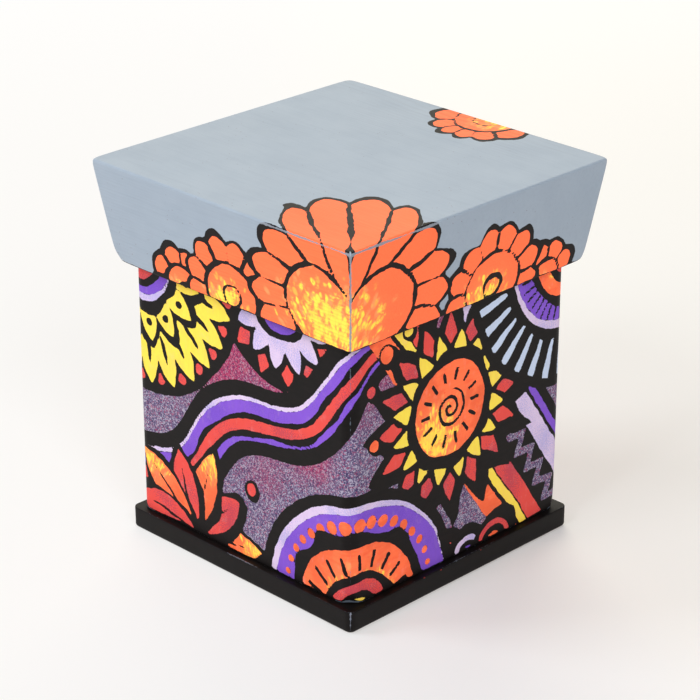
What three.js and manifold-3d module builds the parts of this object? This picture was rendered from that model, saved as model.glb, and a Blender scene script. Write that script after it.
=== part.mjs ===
// A square kerf-bent cedar box with a lift-off lid: one plank bent round three corners and pegged at
// the fourth, a rabbeted base board pegged on from below, and a flared lid carved from one block.
// Millimetres, +Z up. The origin is the centre of the base board's underside.
import * as THREE from "three";
import { mergeVertices } from "three/addons/utils/BufferGeometryUtils.js";
import Module from "manifold-3d";

const wasm = await Module();
wasm.setup();

// Walls
const bodyWidth = 117;
const wallHeight = 105;
const wallThickness = 9;
const wallArris = 0.8;
const innerArris = 0.6;

// Corners, numbered anticlockwise from above, starting at +X +Y
const kerfedCorners = [0, 2, 3];
const rabbetedCorner = 1;

// Kerfed corners: a strip of wood is left at each kerf, and the kerf closes to a seam as the corner bends
const bendThickness = 3;
const bendInnerRadius = 2;
const kerfSeam = 0.4;

// Rabbeted corner, where the plank's two ends meet
const rabbetLip = 3.5;
const rabbetSeam = 0.3;
const rabbetCornerRadius = 1;

// Base board
const baseProjection = 2.9;
const baseLedgeHeight = 8.9;
const basePanelRise = 3.8;
const basePanelClearance = 0.3;
const basePanelRadius = 0.6;
const baseCornerRadius = 3;
const baseArris = 0.9;
const baseFootArris = 1.4;

// Lid
const lidHeight = 40.9;
const lidRimOverhang = 4.5;
const lidFlare = 5.7;
const lidCornerRadius = 2.2;
const lidArris = 0.9;
const lidSeatGap = 0.3;
const lidPlugDepth = 8;
const lidPlugClearance = 0.6;
const lidPlugCornerRadius = 1.2;
const lidPlugArris = 1;
const lidPlugWall = 10;
const lidTopThickness = 15;
const lidHollowDraft = 3;
const lidHollowCornerRadius = 9;
const lidHollowFillet = 6;

// Pegs
const pegRadius = 1.6;
const pegTipRadius = 0.9;
const pegTipLength = 1.8;
const pegClearance = 0.3;
const cornerPegCount = 5;
const cornerPegLength = 18;
const cornerPegMargin = 12;
const cornerPegSlant = THREE.MathUtils.degToRad(10);
const basePegRise = 14;
const basePegInset = 28.5;

// Fineness of the round parts
const cornerSteps = 8;
const arrisSteps = 3;
const pegSides = 12;

// How far a cutting shape runs past what it cuts, and the least plan radius of a corner
const overshoot = 5;
const sharpRadius = 0.2;

// Sizes that follow from the ones above
const bodyHalf = bodyWidth / 2;
const innerHalf = bodyHalf - wallThickness;
const wallMiddle = bodyHalf - wallThickness / 2;
const bendRadius = bendInnerRadius + bendThickness;
const wallTop = baseLedgeHeight + wallHeight;
const baseHalf = bodyHalf + baseProjection;
const baseTop = baseLedgeHeight + basePanelRise;
const panelHalf = innerHalf - basePanelClearance;
const lidSeatHalf = bodyHalf + lidRimOverhang;
const lidTopHalf = lidSeatHalf + lidFlare;
const plugHalf = innerHalf - lidPlugClearance;
const hollowMouthHalf = plugHalf - lidPlugWall;
const hollowCeilingHalf = hollowMouthHalf - lidHollowDraft;
const quarterTurn = Math.PI / 2;

// A closed geometry as a solid that can be joined and cut.
function solidFrom(geometry) {
  const bare = new THREE.BufferGeometry();
  bare.setAttribute("position", geometry.getAttribute("position").clone());
  bare.setIndex(geometry.index);
  const merged = mergeVertices(bare, 1e-4);
  return new wasm.Manifold(
    new wasm.Mesh({
      numProp: 3,
      vertProperties: new Float32Array(merged.getAttribute("position").array),
      triVerts: new Uint32Array(merged.index.array),
    }),
  );
}

// A solid as a geometry that a mesh can show.
function geometryFrom(solid) {
  const { numProp, vertProperties, triVerts } = solid.getMesh();
  const count = vertProperties.length / numProp;
  const positions = new Float32Array(count * 3);
  for (let i = 0; i < count; i++) {
    positions.set(vertProperties.subarray(i * numProp, i * numProp + 3), i * 3);
  }
  return new THREE.BufferGeometry()
    .setAttribute("position", new THREE.BufferAttribute(positions, 3))
    .setIndex(new THREE.BufferAttribute(new Uint32Array(triVerts), 1));
}

// A side profile from its sharp corners, with each corner that has an ease turned into an arc.
// A corner is { half, z, radius, ease }: radius is the plan corner's, and it shrinks as an arc draws in.
function easedProfile(corners) {
  return corners.flatMap((corner, i) => {
    const before = corners[i - 1];
    const after = corners[i + 1];
    if (!corner.ease || !before || !after) {
      return [corner];
    }
    const at = new THREE.Vector2(corner.half, corner.z);
    const back = new THREE.Vector2(before.half, before.z).sub(at);
    const on = new THREE.Vector2(after.half, after.z).sub(at);
    const limit = Math.min(back.length(), on.length()) / 2;
    back.normalize();
    on.normalize();
    const opening = Math.acos(THREE.MathUtils.clamp(back.dot(on), -1, 1));
    const reach = Math.min(corner.ease / Math.tan(opening / 2), limit);
    const arcRadius = reach * Math.tan(opening / 2);
    const centre = back.clone().add(on).normalize();
    centre.multiplyScalar(arcRadius / Math.sin(opening / 2)).add(at);
    const start = back.clone().multiplyScalar(reach).add(at).sub(centre);
    const end = on.clone().multiplyScalar(reach).add(at).sub(centre);
    const turn = Math.atan2(start.cross(end), start.dot(end));
    const arc = [];
    for (let step = 0; step <= arrisSteps; step++) {
      const spoke = start.clone().rotateAround(new THREE.Vector2(), (turn * step) / arrisSteps);
      const half = centre.x + spoke.x;
      arc.push({
        half,
        z: centre.y + spoke.y,
        radius: corner.radius - (corner.half - half),
      });
    }
    return arc;
  });
}

// One level of a square with rounded corners. A corner with its own radius is named by its number;
// the others have the level's radius.
function squareRing({ half, z, radius }, ownCorner, ownRadius) {
  const signs = [
    [1, 1],
    [-1, 1],
    [-1, -1],
    [1, -1],
  ];
  return signs.flatMap(([signX, signY], corner) => {
    const wanted = corner === ownCorner ? ownRadius : radius;
    const round = THREE.MathUtils.clamp(wanted, sharpRadius, half / 2);
    const points = [];
    for (let step = 0; step <= cornerSteps; step++) {
      const angle = (corner + step / cornerSteps) * quarterTurn;
      points.push(
        new THREE.Vector3(
          signX * (half - round) + round * Math.cos(angle),
          signY * (half - round) + round * Math.sin(angle),
          z,
        ),
      );
    }
    return points;
  });
}

// A closed body whose section is a rounded square at every level of a profile.
// The profile runs from the axis, outwards, and back to the axis, like a lathe's.
function squareBody(corners, ownCorner = -1, ownRadius = 0) {
  const profile = easedProfile(corners);
  const rings = profile.map((level) => squareRing(level, ownCorner, ownRadius));
  const around = rings[0].length;
  const points = rings.flat();
  const firstCentre = points.length;
  const lastCentre = firstCentre + 1;
  points.push(new THREE.Vector3(0, 0, profile[0].z));
  points.push(new THREE.Vector3(0, 0, profile.at(-1).z));
  const faces = [];
  for (let i = 0; i < around; i++) {
    const next = (i + 1) % around;
    const top = (rings.length - 1) * around;
    faces.push(firstCentre, next, i);
    faces.push(lastCentre, top + i, top + next);
    for (let level = 0; level + 1 < rings.length; level++) {
      const low = level * around;
      const high = low + around;
      faces.push(low + i, low + next, high + next);
      faces.push(low + i, high + next, high + i);
    }
  }
  return new THREE.BufferGeometry().setFromPoints(points).setIndex(faces);
}

// A plan outline as an upright prism from one height to another.
function prism(shape, bottom, top) {
  const geometry = new THREE.ExtrudeGeometry(shape, {
    depth: top - bottom,
    bevelEnabled: false,
    curveSegments: cornerSteps,
  });
  return geometry.translate(0, 0, bottom);
}

// The closed kerf in plan, at the +X +Y corner: a seam on the diagonal, which opens into the quarter-round
// channel that the bent strip closes over. The channel's arc is as long as the kerf was wide before bending.
function kerfShape() {
  const centre = bodyHalf - bendRadius;
  const side = kerfSeam / Math.SQRT2;
  const inside = innerHalf - overshoot;
  const kerf = new THREE.Shape();
  kerf.moveTo(inside + side / 2, inside - side / 2);
  kerf.lineTo(centre + side, centre);
  kerf.lineTo(centre + bendInnerRadius, centre);
  kerf.absarc(centre, centre, bendInnerRadius, 0, quarterTurn, false);
  kerf.lineTo(centre, centre + side);
  kerf.lineTo(inside - side / 2, inside + side / 2);
  kerf.closePath();
  return kerf;
}

// The seam between the plank's two ends in plan, at the -X +Y corner: along the rabbet's shoulder,
// then under its lip.
function rabbetShape() {
  const lipFace = bodyHalf - rabbetLip;
  const seam = new THREE.Shape();
  seam.moveTo(-innerHalf, innerHalf - overshoot);
  seam.lineTo(-innerHalf + rabbetSeam, innerHalf - overshoot);
  seam.lineTo(-innerHalf + rabbetSeam, lipFace);
  seam.lineTo(-bodyHalf - overshoot, lipFace);
  seam.lineTo(-bodyHalf - overshoot, lipFace - rabbetSeam);
  seam.lineTo(-innerHalf, lipFace - rabbetSeam);
  seam.closePath();
  return seam;
}

// A whittled peg along +Y from its head at y = 0 to its blunt tip, or the bore it is driven into.
function pegBody(length, clearance = 0) {
  const profile = [
    new THREE.Vector2(0, -overshoot),
    new THREE.Vector2(pegRadius + clearance, -overshoot),
    new THREE.Vector2(pegRadius + clearance, length - pegTipLength),
    new THREE.Vector2(pegTipRadius + clearance, length + clearance),
    new THREE.Vector2(0, length + clearance),
  ];
  return new THREE.LatheGeometry(profile, pegSides);
}

// Pegs are trimmed flush with the face that they are driven through: this keeps what lies at y > 0.
function behindFace() {
  const reach = 2 * (cornerPegLength + baseLedgeHeight + basePegRise);
  return solidFrom(new THREE.BoxGeometry(reach, reach, reach).translate(0, reach / 2, 0));
}

// The corner pegs go through the rabbet's lip into the end of the -X wall, leaning up and down by turns.
function cornerPegPlaces() {
  const spacing = (wallHeight - 2 * cornerPegMargin) / (cornerPegCount - 1);
  return Array.from({ length: cornerPegCount }, (_, i) => ({
    name: `corner_peg_${i + 1}`,
    position: new THREE.Vector3(-wallMiddle, bodyHalf, baseLedgeHeight + cornerPegMargin + i * spacing),
    slant: i % 2 === 0 ? cornerPegSlant : -cornerPegSlant,
  }));
}

// The base pegs go up through the base board's ledge into the middle of each wall, two to a wall.
function basePegPlaces() {
  const along = bodyHalf - basePegInset;
  const walls = ["front", "right", "back", "left"];
  return walls.flatMap((wall, i) =>
    [-1, 1].map((side) => ({
      name: `base_peg_${wall}_${side < 0 ? 1 : 2}`,
      position: new THREE.Vector3(side * along, -wallMiddle, 0).applyAxisAngle(
        new THREE.Vector3(0, 0, 1),
        i * quarterTurn,
      ),
    })),
  );
}

// Turns a peg or bore from +Y to its own direction: a corner peg points to -Y and leans,
// and a base peg points up.
function cornerPegTurn(slant) {
  return new THREE.Matrix4().makeRotationX(Math.PI + slant);
}

function basePegTurn() {
  return new THREE.Matrix4().makeRotationX(quarterTurn);
}

function cornerPegGeometry(slant) {
  const behind = behindFace().rotate([180, 0, 0]);
  const peg = solidFrom(pegBody(cornerPegLength).applyMatrix4(cornerPegTurn(slant)));
  return geometryFrom(peg.intersect(behind));
}

function basePegGeometry() {
  const behind = behindFace().rotate([90, 0, 0]);
  const peg = solidFrom(pegBody(baseLedgeHeight + basePegRise).applyMatrix4(basePegTurn()));
  return geometryFrom(peg.intersect(behind));
}

function boresOfPegs() {
  const cornerBores = cornerPegPlaces().map(({ position, slant }) =>
    solidFrom(pegBody(cornerPegLength, pegClearance).applyMatrix4(cornerPegTurn(slant))).translate(
      position.toArray(),
    ),
  );
  const baseBores = basePegPlaces().map(({ position }) =>
    solidFrom(
      pegBody(baseLedgeHeight + basePegRise, pegClearance).applyMatrix4(basePegTurn()),
    ).translate(position.toArray()),
  );
  return wasm.Manifold.union([...cornerBores, ...baseBores]);
}

// The plank: an eased square block, hollowed, kerfed at three corners and parted at the fourth.
function sideBoardGeometry() {
  const block = solidFrom(
    squareBody(
      [
        { half: bodyHalf / 2, z: baseLedgeHeight, radius: bendRadius },
        { half: bodyHalf, z: baseLedgeHeight, radius: bendRadius, ease: wallArris },
        { half: bodyHalf, z: wallTop, radius: bendRadius, ease: wallArris },
        { half: bodyHalf / 2, z: wallTop, radius: bendRadius },
      ],
      rabbetedCorner,
      rabbetCornerRadius,
    ),
  );
  const inside = solidFrom(
    squareBody([
      { half: innerHalf, z: baseLedgeHeight - overshoot, radius: sharpRadius },
      { half: innerHalf, z: wallTop - innerArris, radius: sharpRadius },
      { half: innerHalf + innerArris + overshoot, z: wallTop + overshoot, radius: sharpRadius },
    ]),
  );
  const low = baseLedgeHeight - overshoot;
  const high = wallTop + overshoot;
  const kerf = solidFrom(prism(kerfShape(), low, high));
  const kerfs = kerfedCorners.map((corner) => kerf.rotate([0, 0, corner * 90]));
  const rabbet = solidFrom(prism(rabbetShape(), low, high));
  return geometryFrom(
    [inside, ...kerfs, rabbet, boresOfPegs()].reduce((plank, cut) => plank.subtract(cut), block),
  );
}

// The base board: a projecting ledge that the walls stand on, and a raised panel that fits inside them.
function baseBoardGeometry() {
  const board = solidFrom(
    squareBody([
      { half: baseHalf / 2, z: 0, radius: baseCornerRadius },
      { half: baseHalf, z: 0, radius: baseCornerRadius, ease: baseFootArris },
      { half: baseHalf, z: baseLedgeHeight, radius: baseCornerRadius, ease: baseArris },
      { half: panelHalf, z: baseLedgeHeight, radius: basePanelRadius },
      { half: panelHalf, z: baseTop, radius: basePanelRadius, ease: basePanelRadius },
      { half: panelHalf / 2, z: baseTop, radius: basePanelRadius },
    ]),
  );
  return geometryFrom(board.subtract(boresOfPegs()));
}

// The lid, about its seat on the walls at z = 0: flared outside, with a plug that drops into the walls,
// and hollowed from below with drafted sides and a coved ceiling.
function lidGeometry() {
  const ceiling = lidHeight - lidTopThickness;
  return squareBody([
    { half: hollowCeilingHalf / 2, z: ceiling, radius: lidHollowCornerRadius },
    { half: hollowCeilingHalf, z: ceiling, radius: lidHollowCornerRadius, ease: lidHollowFillet },
    { half: hollowMouthHalf, z: -lidPlugDepth, radius: lidHollowCornerRadius, ease: lidPlugArris },
    { half: plugHalf, z: -lidPlugDepth, radius: lidPlugCornerRadius, ease: lidPlugArris },
    { half: plugHalf, z: 0, radius: lidPlugCornerRadius },
    { half: lidSeatHalf, z: 0, radius: lidCornerRadius, ease: lidArris },
    { half: lidTopHalf, z: lidHeight, radius: lidCornerRadius, ease: lidArris },
    { half: lidTopHalf / 2, z: lidHeight, radius: lidCornerRadius },
  ]);
}

function paint(color, roughness) {
  return new THREE.MeshStandardMaterial({ color, roughness, metalness: 0, flatShading: true });
}

function piece(name, geometry, material) {
  const mesh = new THREE.Mesh(geometry, material);
  mesh.name = name;
  return mesh;
}

const violetPaint = paint(0x6a4fae, 0.55);
const greyPaint = paint(0xb4bec6, 0.6);
const blackPaint = paint(0x1c1a19, 0.45);
const cedar = paint(0xa5683f, 0.7);

const box = new THREE.Group();
box.add(piece("side_board", sideBoardGeometry(), violetPaint));
box.add(piece("base_board", baseBoardGeometry(), blackPaint));

for (const { name, position, slant } of cornerPegPlaces()) {
  const peg = piece(name, cornerPegGeometry(slant), cedar);
  peg.position.copy(position);
  box.add(peg);
}

for (const { name, position } of basePegPlaces()) {
  const peg = piece(name, basePegGeometry(), cedar);
  peg.position.copy(position);
  box.add(peg);
}

const lid = new THREE.Group();
lid.position.z = wallTop + lidSeatGap;
lid.add(piece("lid", lidGeometry(), greyPaint));

const model = new THREE.Group();
model.add(box, lid);

export default model;
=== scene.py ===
"""Dresses a square kerf-bent cedar box: its bent and painted plank, flared lid, black base and pegs."""

import math
from functools import reduce

import bpy
import numpy as np
from bpy.props import FloatProperty, FloatVectorProperty, PointerProperty
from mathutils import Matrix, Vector


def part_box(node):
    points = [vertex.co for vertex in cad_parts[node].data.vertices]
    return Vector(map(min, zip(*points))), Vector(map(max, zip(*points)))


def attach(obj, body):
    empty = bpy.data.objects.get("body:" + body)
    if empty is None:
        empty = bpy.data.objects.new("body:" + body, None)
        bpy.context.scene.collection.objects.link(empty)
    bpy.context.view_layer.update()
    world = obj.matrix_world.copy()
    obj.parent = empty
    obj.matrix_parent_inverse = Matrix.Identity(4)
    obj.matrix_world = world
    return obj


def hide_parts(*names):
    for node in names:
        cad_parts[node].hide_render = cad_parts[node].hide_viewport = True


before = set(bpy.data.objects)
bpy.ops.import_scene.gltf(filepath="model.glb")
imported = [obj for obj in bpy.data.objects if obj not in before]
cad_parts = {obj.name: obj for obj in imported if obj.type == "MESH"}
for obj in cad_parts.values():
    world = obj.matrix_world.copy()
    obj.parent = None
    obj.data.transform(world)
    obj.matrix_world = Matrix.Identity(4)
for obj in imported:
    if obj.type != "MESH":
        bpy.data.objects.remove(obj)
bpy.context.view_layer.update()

bl_info = {
    "name": "Bentwood Box",
    "version": (1, 0, 0),
    "blender": (4, 5, 0),
    "location": "View3D > Sidebar > Bentwood Box",
    "description": "Makes a painted kerf-bent box with a flared lid, and its studio",
    "category": "Add Mesh",
}

MM = 0.001
wall_low, wall_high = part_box("side_board")
lid_low, lid_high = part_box("lid")
base_low, base_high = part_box("base_board")
corner_pegs = sorted(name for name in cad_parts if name.startswith("corner_peg"))
base_pegs = sorted(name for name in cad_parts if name.startswith("base_peg"))


# Sizes and colours

def length(name, description, millimetres):
    """A length that a user may change, given in millimetres and kept in metres."""
    metres = millimetres * MM
    return FloatProperty(name=name, description=description, default=metres, unit="LENGTH", precision=4)


def linear(red, green, blue):
    """A colour written as it shows on a screen, from 0 to 255, as linear light."""
    shown = np.array([red, green, blue]) / 255
    return tuple(np.where(shown <= 0.04045, shown / 12.92, ((shown + 0.055) / 1.055) ** 2.4).tolist())


def colour(name, description, red, green, blue):
    """A colour that a user may change."""
    return FloatVectorProperty(
        name=name, description=description, default=linear(red, green, blue), subtype="COLOR", min=0, max=1
    )


def angle(name, description, degrees):
    """An angle that a user may change, given in degrees."""
    return FloatProperty(name=name, description=description, default=math.radians(degrees), subtype="ANGLE")


def lamp_power(name, description, watts):
    """A lamp's power."""
    return FloatProperty(name=name, description=description, default=watts, min=0, unit="POWER")


class PlankSizes(bpy.types.PropertyGroup):
    """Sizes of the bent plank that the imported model's corners don't give."""

    thickness: length("Thickness", "Thickness of the walls", 9)
    strip: length("Strip", "Wood left outside each kerf", 3)
    channel: length("Channel", "Radius of the channel that each bent strip closes over", 2)
    kerf: length("Kerf seam", "Gap left where a kerf closes", 0.4)
    lip: length("Lip", "Thickness of the rabbet's lip", 3.5)
    seam: length("Rabbet seam", "Gap between the plank's two ends", 0.3)
    arris: length("Arris", "Radius along the outer edges", 0.8)
    inner_arris: length("Inner arris", "Chamfer round the mouth", 0.6)
    lip_corner: length("Lip corner", "Radius of the upright edge at the lip", 1)
    step: length("Step", "Distance between the surface's points", 1)


class LidSizes(bpy.types.PropertyGroup):
    """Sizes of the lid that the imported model's corners don't give."""

    overhang: length("Overhang", "How far the lid's lower edge stands out from the walls", 4.5)
    flare: length("Flare", "How much further the upper edge stands out", 5.7)
    plug_depth: length("Plug depth", "How far the plug drops inside the walls", 8)
    plug_clearance: length("Plug clearance", "Room between plug and wall", 0.6)
    plug_wall: length("Plug wall", "Wood round the hollow at its mouth", 10)
    top: length("Top", "Thickness of wood over the hollow", 15)
    draft: length("Draft", "How much the hollow narrows to its ceiling", 3)
    corner: length("Corner", "Radius of the upright edges", 1.0)
    arris: length("Arris", "Radius along the outer edges", 0.75)
    plug_corner: length("Plug corner", "Radius of the plug's corners", 1.2)
    plug_arris: length("Plug arris", "Radius along the plug's rim", 1)
    hollow_corner: length("Hollow corner", "Radius of the hollow's corners", 9)
    hollow_cove: length("Hollow cove", "Radius between the hollow's sides and ceiling", 6)
    step: length("Step", "Distance between the surface's points", 1.15)


class BaseSizes(bpy.types.PropertyGroup):
    """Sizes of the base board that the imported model's corners don't give."""

    corner: length("Corner", "Radius of the upright edges", 2.9)
    arris: length("Arris", "Radius along the ledge's edge", 0.45)
    foot: length("Foot", "Radius along the lower edge", 1.4)
    clearance: length("Clearance", "Room between the raised panel and the walls", 0.3)
    panel_corner: length("Panel corner", "Radius of the raised panel's corners", 0.8)
    panel_arris: length("Panel arris", "Radius along the raised panel's edge", 0.6)
    relief: length("Relief", "How far the pegs' ends stand out below", 0.08)
    step: length("Step", "Distance between the surface's points", 1.6)


class PegSizes(bpy.types.PropertyGroup):
    """Sizes of the pegs' painted heads."""

    radius: length("Radius", "Radius of a corner peg's head", 1.6)
    proud: length("Proud", "How far a painted head stands out", 0.14)
    depth: length("Depth", "How deep a peg goes", 12)
    lean: angle("Lean", "How far the pegs lean up and down by turns", 10)


class PaintColours(bpy.types.PropertyGroup):
    """Colours of the paints and of the bare cedar."""

    grey: colour("Grey", "Lid ground", 184, 193, 199)
    orange: colour("Orange", "Orange areas", 255, 133, 78)
    amber: colour("Amber", "Flecks between orange and yellow", 255, 196, 82)
    yellow: colour("Yellow", "Yellow areas and flecks", 255, 246, 86)
    red: colour("Red", "Red areas", 255, 90, 77)
    purple: colour("Purple", "Purple areas", 154, 98, 224)
    lavender: colour("Lavender", "Pale edges and ribbons", 255, 226, 250)
    ice: colour("Ice", "Pale blue-white strokes", 230, 240, 255)
    ink: colour("Ink", "Black lines", 17, 12, 10)
    dusk: colour("Dusk", "Dark dots of the speckled ground", 60, 42, 88)
    heather: colour("Heather", "Cool speckled ground", 130, 112, 142)
    mist: colour("Mist", "Pale dots of the speckled ground", 210, 200, 210)
    rose: colour("Rose", "Warm speckled ground", 196, 62, 104)
    cedar: colour("Cedar", "Bare cedar, early wood", 206, 142, 96)
    cedar_dark: colour("Dark cedar", "Bare cedar, late wood", 118, 64, 38)
    base: colour("Base", "Black base board", 17, 12, 9)
    worn: colour("Worn", "Where the black is rubbed thin", 150, 154, 163)


class StudioSettings(bpy.types.PropertyGroup):
    """The camera and the lamps."""

    azimuth: angle("Azimuth", "Camera's bearing", 44.86)
    elevation: angle("Elevation", "Camera's height over the level, seen from its target", 23.88)
    distance: length("Distance", "From the camera to its target", 960)
    target: length("Target height", "Height of the point in the middle of the frame", 76.39)
    aside: length("Target aside", "How far the target lies to the camera's right", 0.05)
    lens: FloatProperty(
        name="Lens", description="Focal length on a 36 mm sensor", default=127.6, subtype="DISTANCE_CAMERA"
    )
    key: lamp_power("Left lamp", "Power of the lamp at the left", 10.7)
    front: lamp_power("Front lamp", "Power of the lamp in front", 7.6)
    side: lamp_power("Right lamp", "Power of the lamp at the right", 11.3)
    back: lamp_power("Back lamp", "Power of the lamp behind", 11.9)
    fill: FloatProperty(name="World", description="Strength of the light all round", default=0.23, min=0)
    floor: colour("Floor", "Paper under the box, as it lights the box", 240, 239, 238)
    paper: colour("Paper", "What the camera sees of the paper's light", 238, 238, 231)
    shine: colour("Paper shine", "What the camera sees of the paper without any light", 124, 112, 105)
    # At the left the seen paper is painted lighter: less of the lamps' light and more light of its own, so
    # that the box's shadow there is painted fainter.
    painted_light_left_paper: colour("Left paper", "What the camera sees of the paper's light at the left", 149, 147, 144)
    painted_light_left_shine: colour("Left shine", "The same without any light", 215, 213, 210)


class BoxSettings(bpy.types.PropertyGroup):
    """All that the box is made from."""

    plank: PointerProperty(type=PlankSizes)
    lid: PointerProperty(type=LidSizes)
    base: PointerProperty(type=BaseSizes)
    pegs: PointerProperty(type=PegSizes)
    paint: PointerProperty(type=PaintColours)
    studio: PointerProperty(type=StudioSettings)


# Surfaces

def closed_tube(name, rings, smooth_below=math.radians(38)):
    """A mesh object from rows of points: each row closes on itself, rows join in order, the ends are capped.

    The rows are an array of rings by points by three. If the volume that the faces enclose comes out
    negative, every face is turned over, so that all point outwards.
    """
    count, around = rings.shape[:2]
    index = np.arange(count * around).reshape(count, around)
    low, high = index[:-1], index[1:]
    quads = np.stack([low, np.roll(low, -1, 1), np.roll(high, -1, 1), high], axis=-1).reshape(-1, 4)
    points = rings.reshape(-1, 3)
    a, b, c, d = points[quads.T]
    middle = (a + b + c + d) / 4
    outwards = np.einsum("ij,ij->", middle, np.cross(c - a, d - b))
    caps = [index[0][::-1], index[-1]]
    if outwards < 0:
        quads = quads[:, ::-1]
        caps = [cap[::-1] for cap in caps]
    corners = np.concatenate([quads.ravel(), *caps]).astype(np.int32)
    starts = np.append(np.arange(len(quads) + 1) * 4, len(quads) * 4 + around).astype(np.int32)
    mesh = bpy.data.meshes.new(name)
    mesh.vertices.add(len(points))
    mesh.vertices.foreach_set("co", points.astype(np.float32).ravel())
    mesh.loops.add(len(corners))
    mesh.loops.foreach_set("vertex_index", corners)
    mesh.polygons.add(len(starts))
    mesh.polygons.foreach_set("loop_start", starts)
    mesh.update(calc_edges=True)
    mesh.validate()
    mesh.shade_smooth()
    mesh.set_sharp_from_angle(angle=smooth_below)
    thing = bpy.data.objects.new(name, mesh)
    bpy.context.scene.collection.objects.link(thing)
    return thing


def set_field(thing, name, values):
    """Keeps a number or a vector for each point of a mesh, for its material to read."""
    kind, key = ("FLOAT_VECTOR", "vector") if values.ndim == 2 else ("FLOAT", "value")
    layer = thing.data.attributes.new(name, kind, "POINT")
    layer.data.foreach_set(key, values.astype(np.float32).ravel())


def divided(rows, step, measure=slice(0, 2)):
    """The same row of stations with its long runs divided, by straight lines, into equal steps."""
    runs = np.linalg.norm(np.diff(rows[:, measure], axis=0), axis=1)
    parts = np.maximum(1, np.ceil(runs / step)).astype(int)
    places = [start + np.arange(part) / part for start, part in enumerate(parts)]
    at = np.append(np.concatenate(places), len(rows) - 1)
    return np.stack([np.interp(at, np.arange(len(rows)), column) for column in rows.T], axis=1)


def eased(corners, arc_steps=6):
    """A profile of (out, height, plan radius) whose corners, where they have an ease, are turned into arcs.

    An arc touches the two runs that meet at its corner: it starts ease / tan(half the opening) back along
    each run, and its centre lies ease / sin(half the opening) along the line that halves the opening.
    The plan radius shrinks by as much as the arc draws in.
    """
    levels = []
    for index, (out, height, radius, ease) in enumerate(corners):
        here = np.array([out, height])
        if not ease:
            levels.append([[out, height, radius]])
            continue
        back = np.array(corners[index - 1][:2]) - here
        on = np.array(corners[index + 1][:2]) - here
        back /= np.linalg.norm(back)
        on /= np.linalg.norm(on)
        half_opening = math.acos(float(back @ on)) / 2
        centre = here + (back + on) / np.linalg.norm(back + on) * ease / math.sin(half_opening)
        start = here + back * ease / math.tan(half_opening) - centre
        end = here + on * ease / math.tan(half_opening) - centre
        turn = math.atan2(start[0] * end[1] - start[1] * end[0], start @ end)
        angles = np.linspace(0, turn, arc_steps + 1)
        across = centre[0] + start[0] * np.cos(angles) - start[1] * np.sin(angles)
        up = centre[1] + start[0] * np.sin(angles) + start[1] * np.cos(angles)
        levels.append(np.stack([across, up, radius - (out - across)], axis=1))
    return np.vstack(levels)


def square_frame(side_steps, corner_steps):
    """Where the points of a rounded square lie, as (place, heading, share of a side, share of a corner).

    A point is place * (half - radius) + heading * radius. Round a corner the place stays and the heading
    turns; along a side the heading stays, square to it, and the place runs from corner to corner.
    """
    places, headings, beside, around = [], [], [], []
    for corner in range(4):
        turn = (corner + np.linspace(0, 1, corner_steps + 1)) * np.pi / 2
        run = np.arange(1, side_steps) / side_steps
        bearings = (np.arange(2) + corner + 0.5) * np.pi / 2
        here, there = np.sqrt(2) * np.stack([np.cos(bearings), np.sin(bearings)], axis=1)
        places += [np.tile(here, (len(turn), 1)), here + (there - here) * run[:, None]]
        turn = np.append(turn, np.full(len(run), turn[-1]))
        headings.append(np.stack([np.cos(turn), np.sin(turn)], axis=1))
        beside.append(np.append(np.zeros(corner_steps + 1), 1 - np.abs(2 * run - 1)))
        around.append(np.append(np.abs(np.linspace(-1, 1, corner_steps + 1)), np.ones(len(run))))
    return np.vstack(places), np.vstack(headings), np.concatenate(beside), np.concatenate(around)


def square_rings(profile, side_steps, corner_steps):
    """A rounded square at each level of a profile, and each point's distance from an upright edge."""
    places, headings, beside, around = square_frame(side_steps, corner_steps)
    out, height, radius = profile.T
    radius = np.clip(radius, 0.2 * MM, out / 2)
    flat = (out - radius)[:, None]
    ring = places[None] * flat[..., None] + headings[None] * radius[:, None, None]
    rings = np.dstack([ring, np.broadcast_to(height[:, None], ring.shape[:2])])
    from_edge = beside * flat + around * radius[:, None] * np.pi / 4
    return rings, from_edge


def run_along(profile):
    """How far along a profile of (out, height, plan radius) each of its points lies."""
    out, height, _ = profile.T
    return np.append(0, np.cumsum(np.hypot(np.diff(out), np.diff(height))))


def drift(points, size, seed, waves=10):
    """A smooth random number at each point, mostly from -1 to 1.

    It is twice the mean of some waves of random heading, pitch and phase.
    """
    chance = np.random.default_rng(seed)
    headings = chance.normal(size=(waves, points.shape[1]))
    headings /= np.linalg.norm(headings, axis=1)[:, None]
    pitches = size * chance.uniform(0.7, 1.5, waves)
    phases = chance.uniform(0, 2 * np.pi, waves)
    return 2 * np.sin(2 * np.pi * (points @ headings.T) / pitches + phases).mean(axis=1)


def uneven(points, *drifts):
    """Some drifts together, each given as (how much, size, seed)."""
    return sum(amount * drift(points, size, seed) for amount, size, seed in drifts)


def rub_corners(points, depths, half, level, slant):
    """Presses in a square's corners at one level, each towards the middle by what stands past a plane.

    The plane cuts off a given depth in millimetres, and its heading rises by the slant. The step over it is
    softened as (d + sqrt(d * d + soft * soft)) / 2.
    """
    soft = 0.9 * MM
    for (east, north), depth in depths.items():
        tip = np.array([east * half, north * half, level])
        heading = np.array([east, north, slant]) / math.sqrt(2 + slant**2)
        past = (points - tip) @ heading + depth * MM
        points = points - heading * ((past + np.sqrt(past**2 + soft**2)) / 2)[:, None]
    return points


# Shapes of painted areas: each is a distance in millimetres, below nothing inside

def disc(x, y, radius):
    """The distance from the centre less the radius."""
    return lambda a, b: np.hypot(a - x, b - y) - radius


def turned(a, b, x, y, heading):
    """How far a place lies along a heading, in degrees, from a point, and how far to its left."""
    turn = math.radians(heading)
    a, b = a - x, b - y
    return a * math.cos(turn) + b * math.sin(turn), b * math.cos(turn) - a * math.sin(turn)


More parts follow.
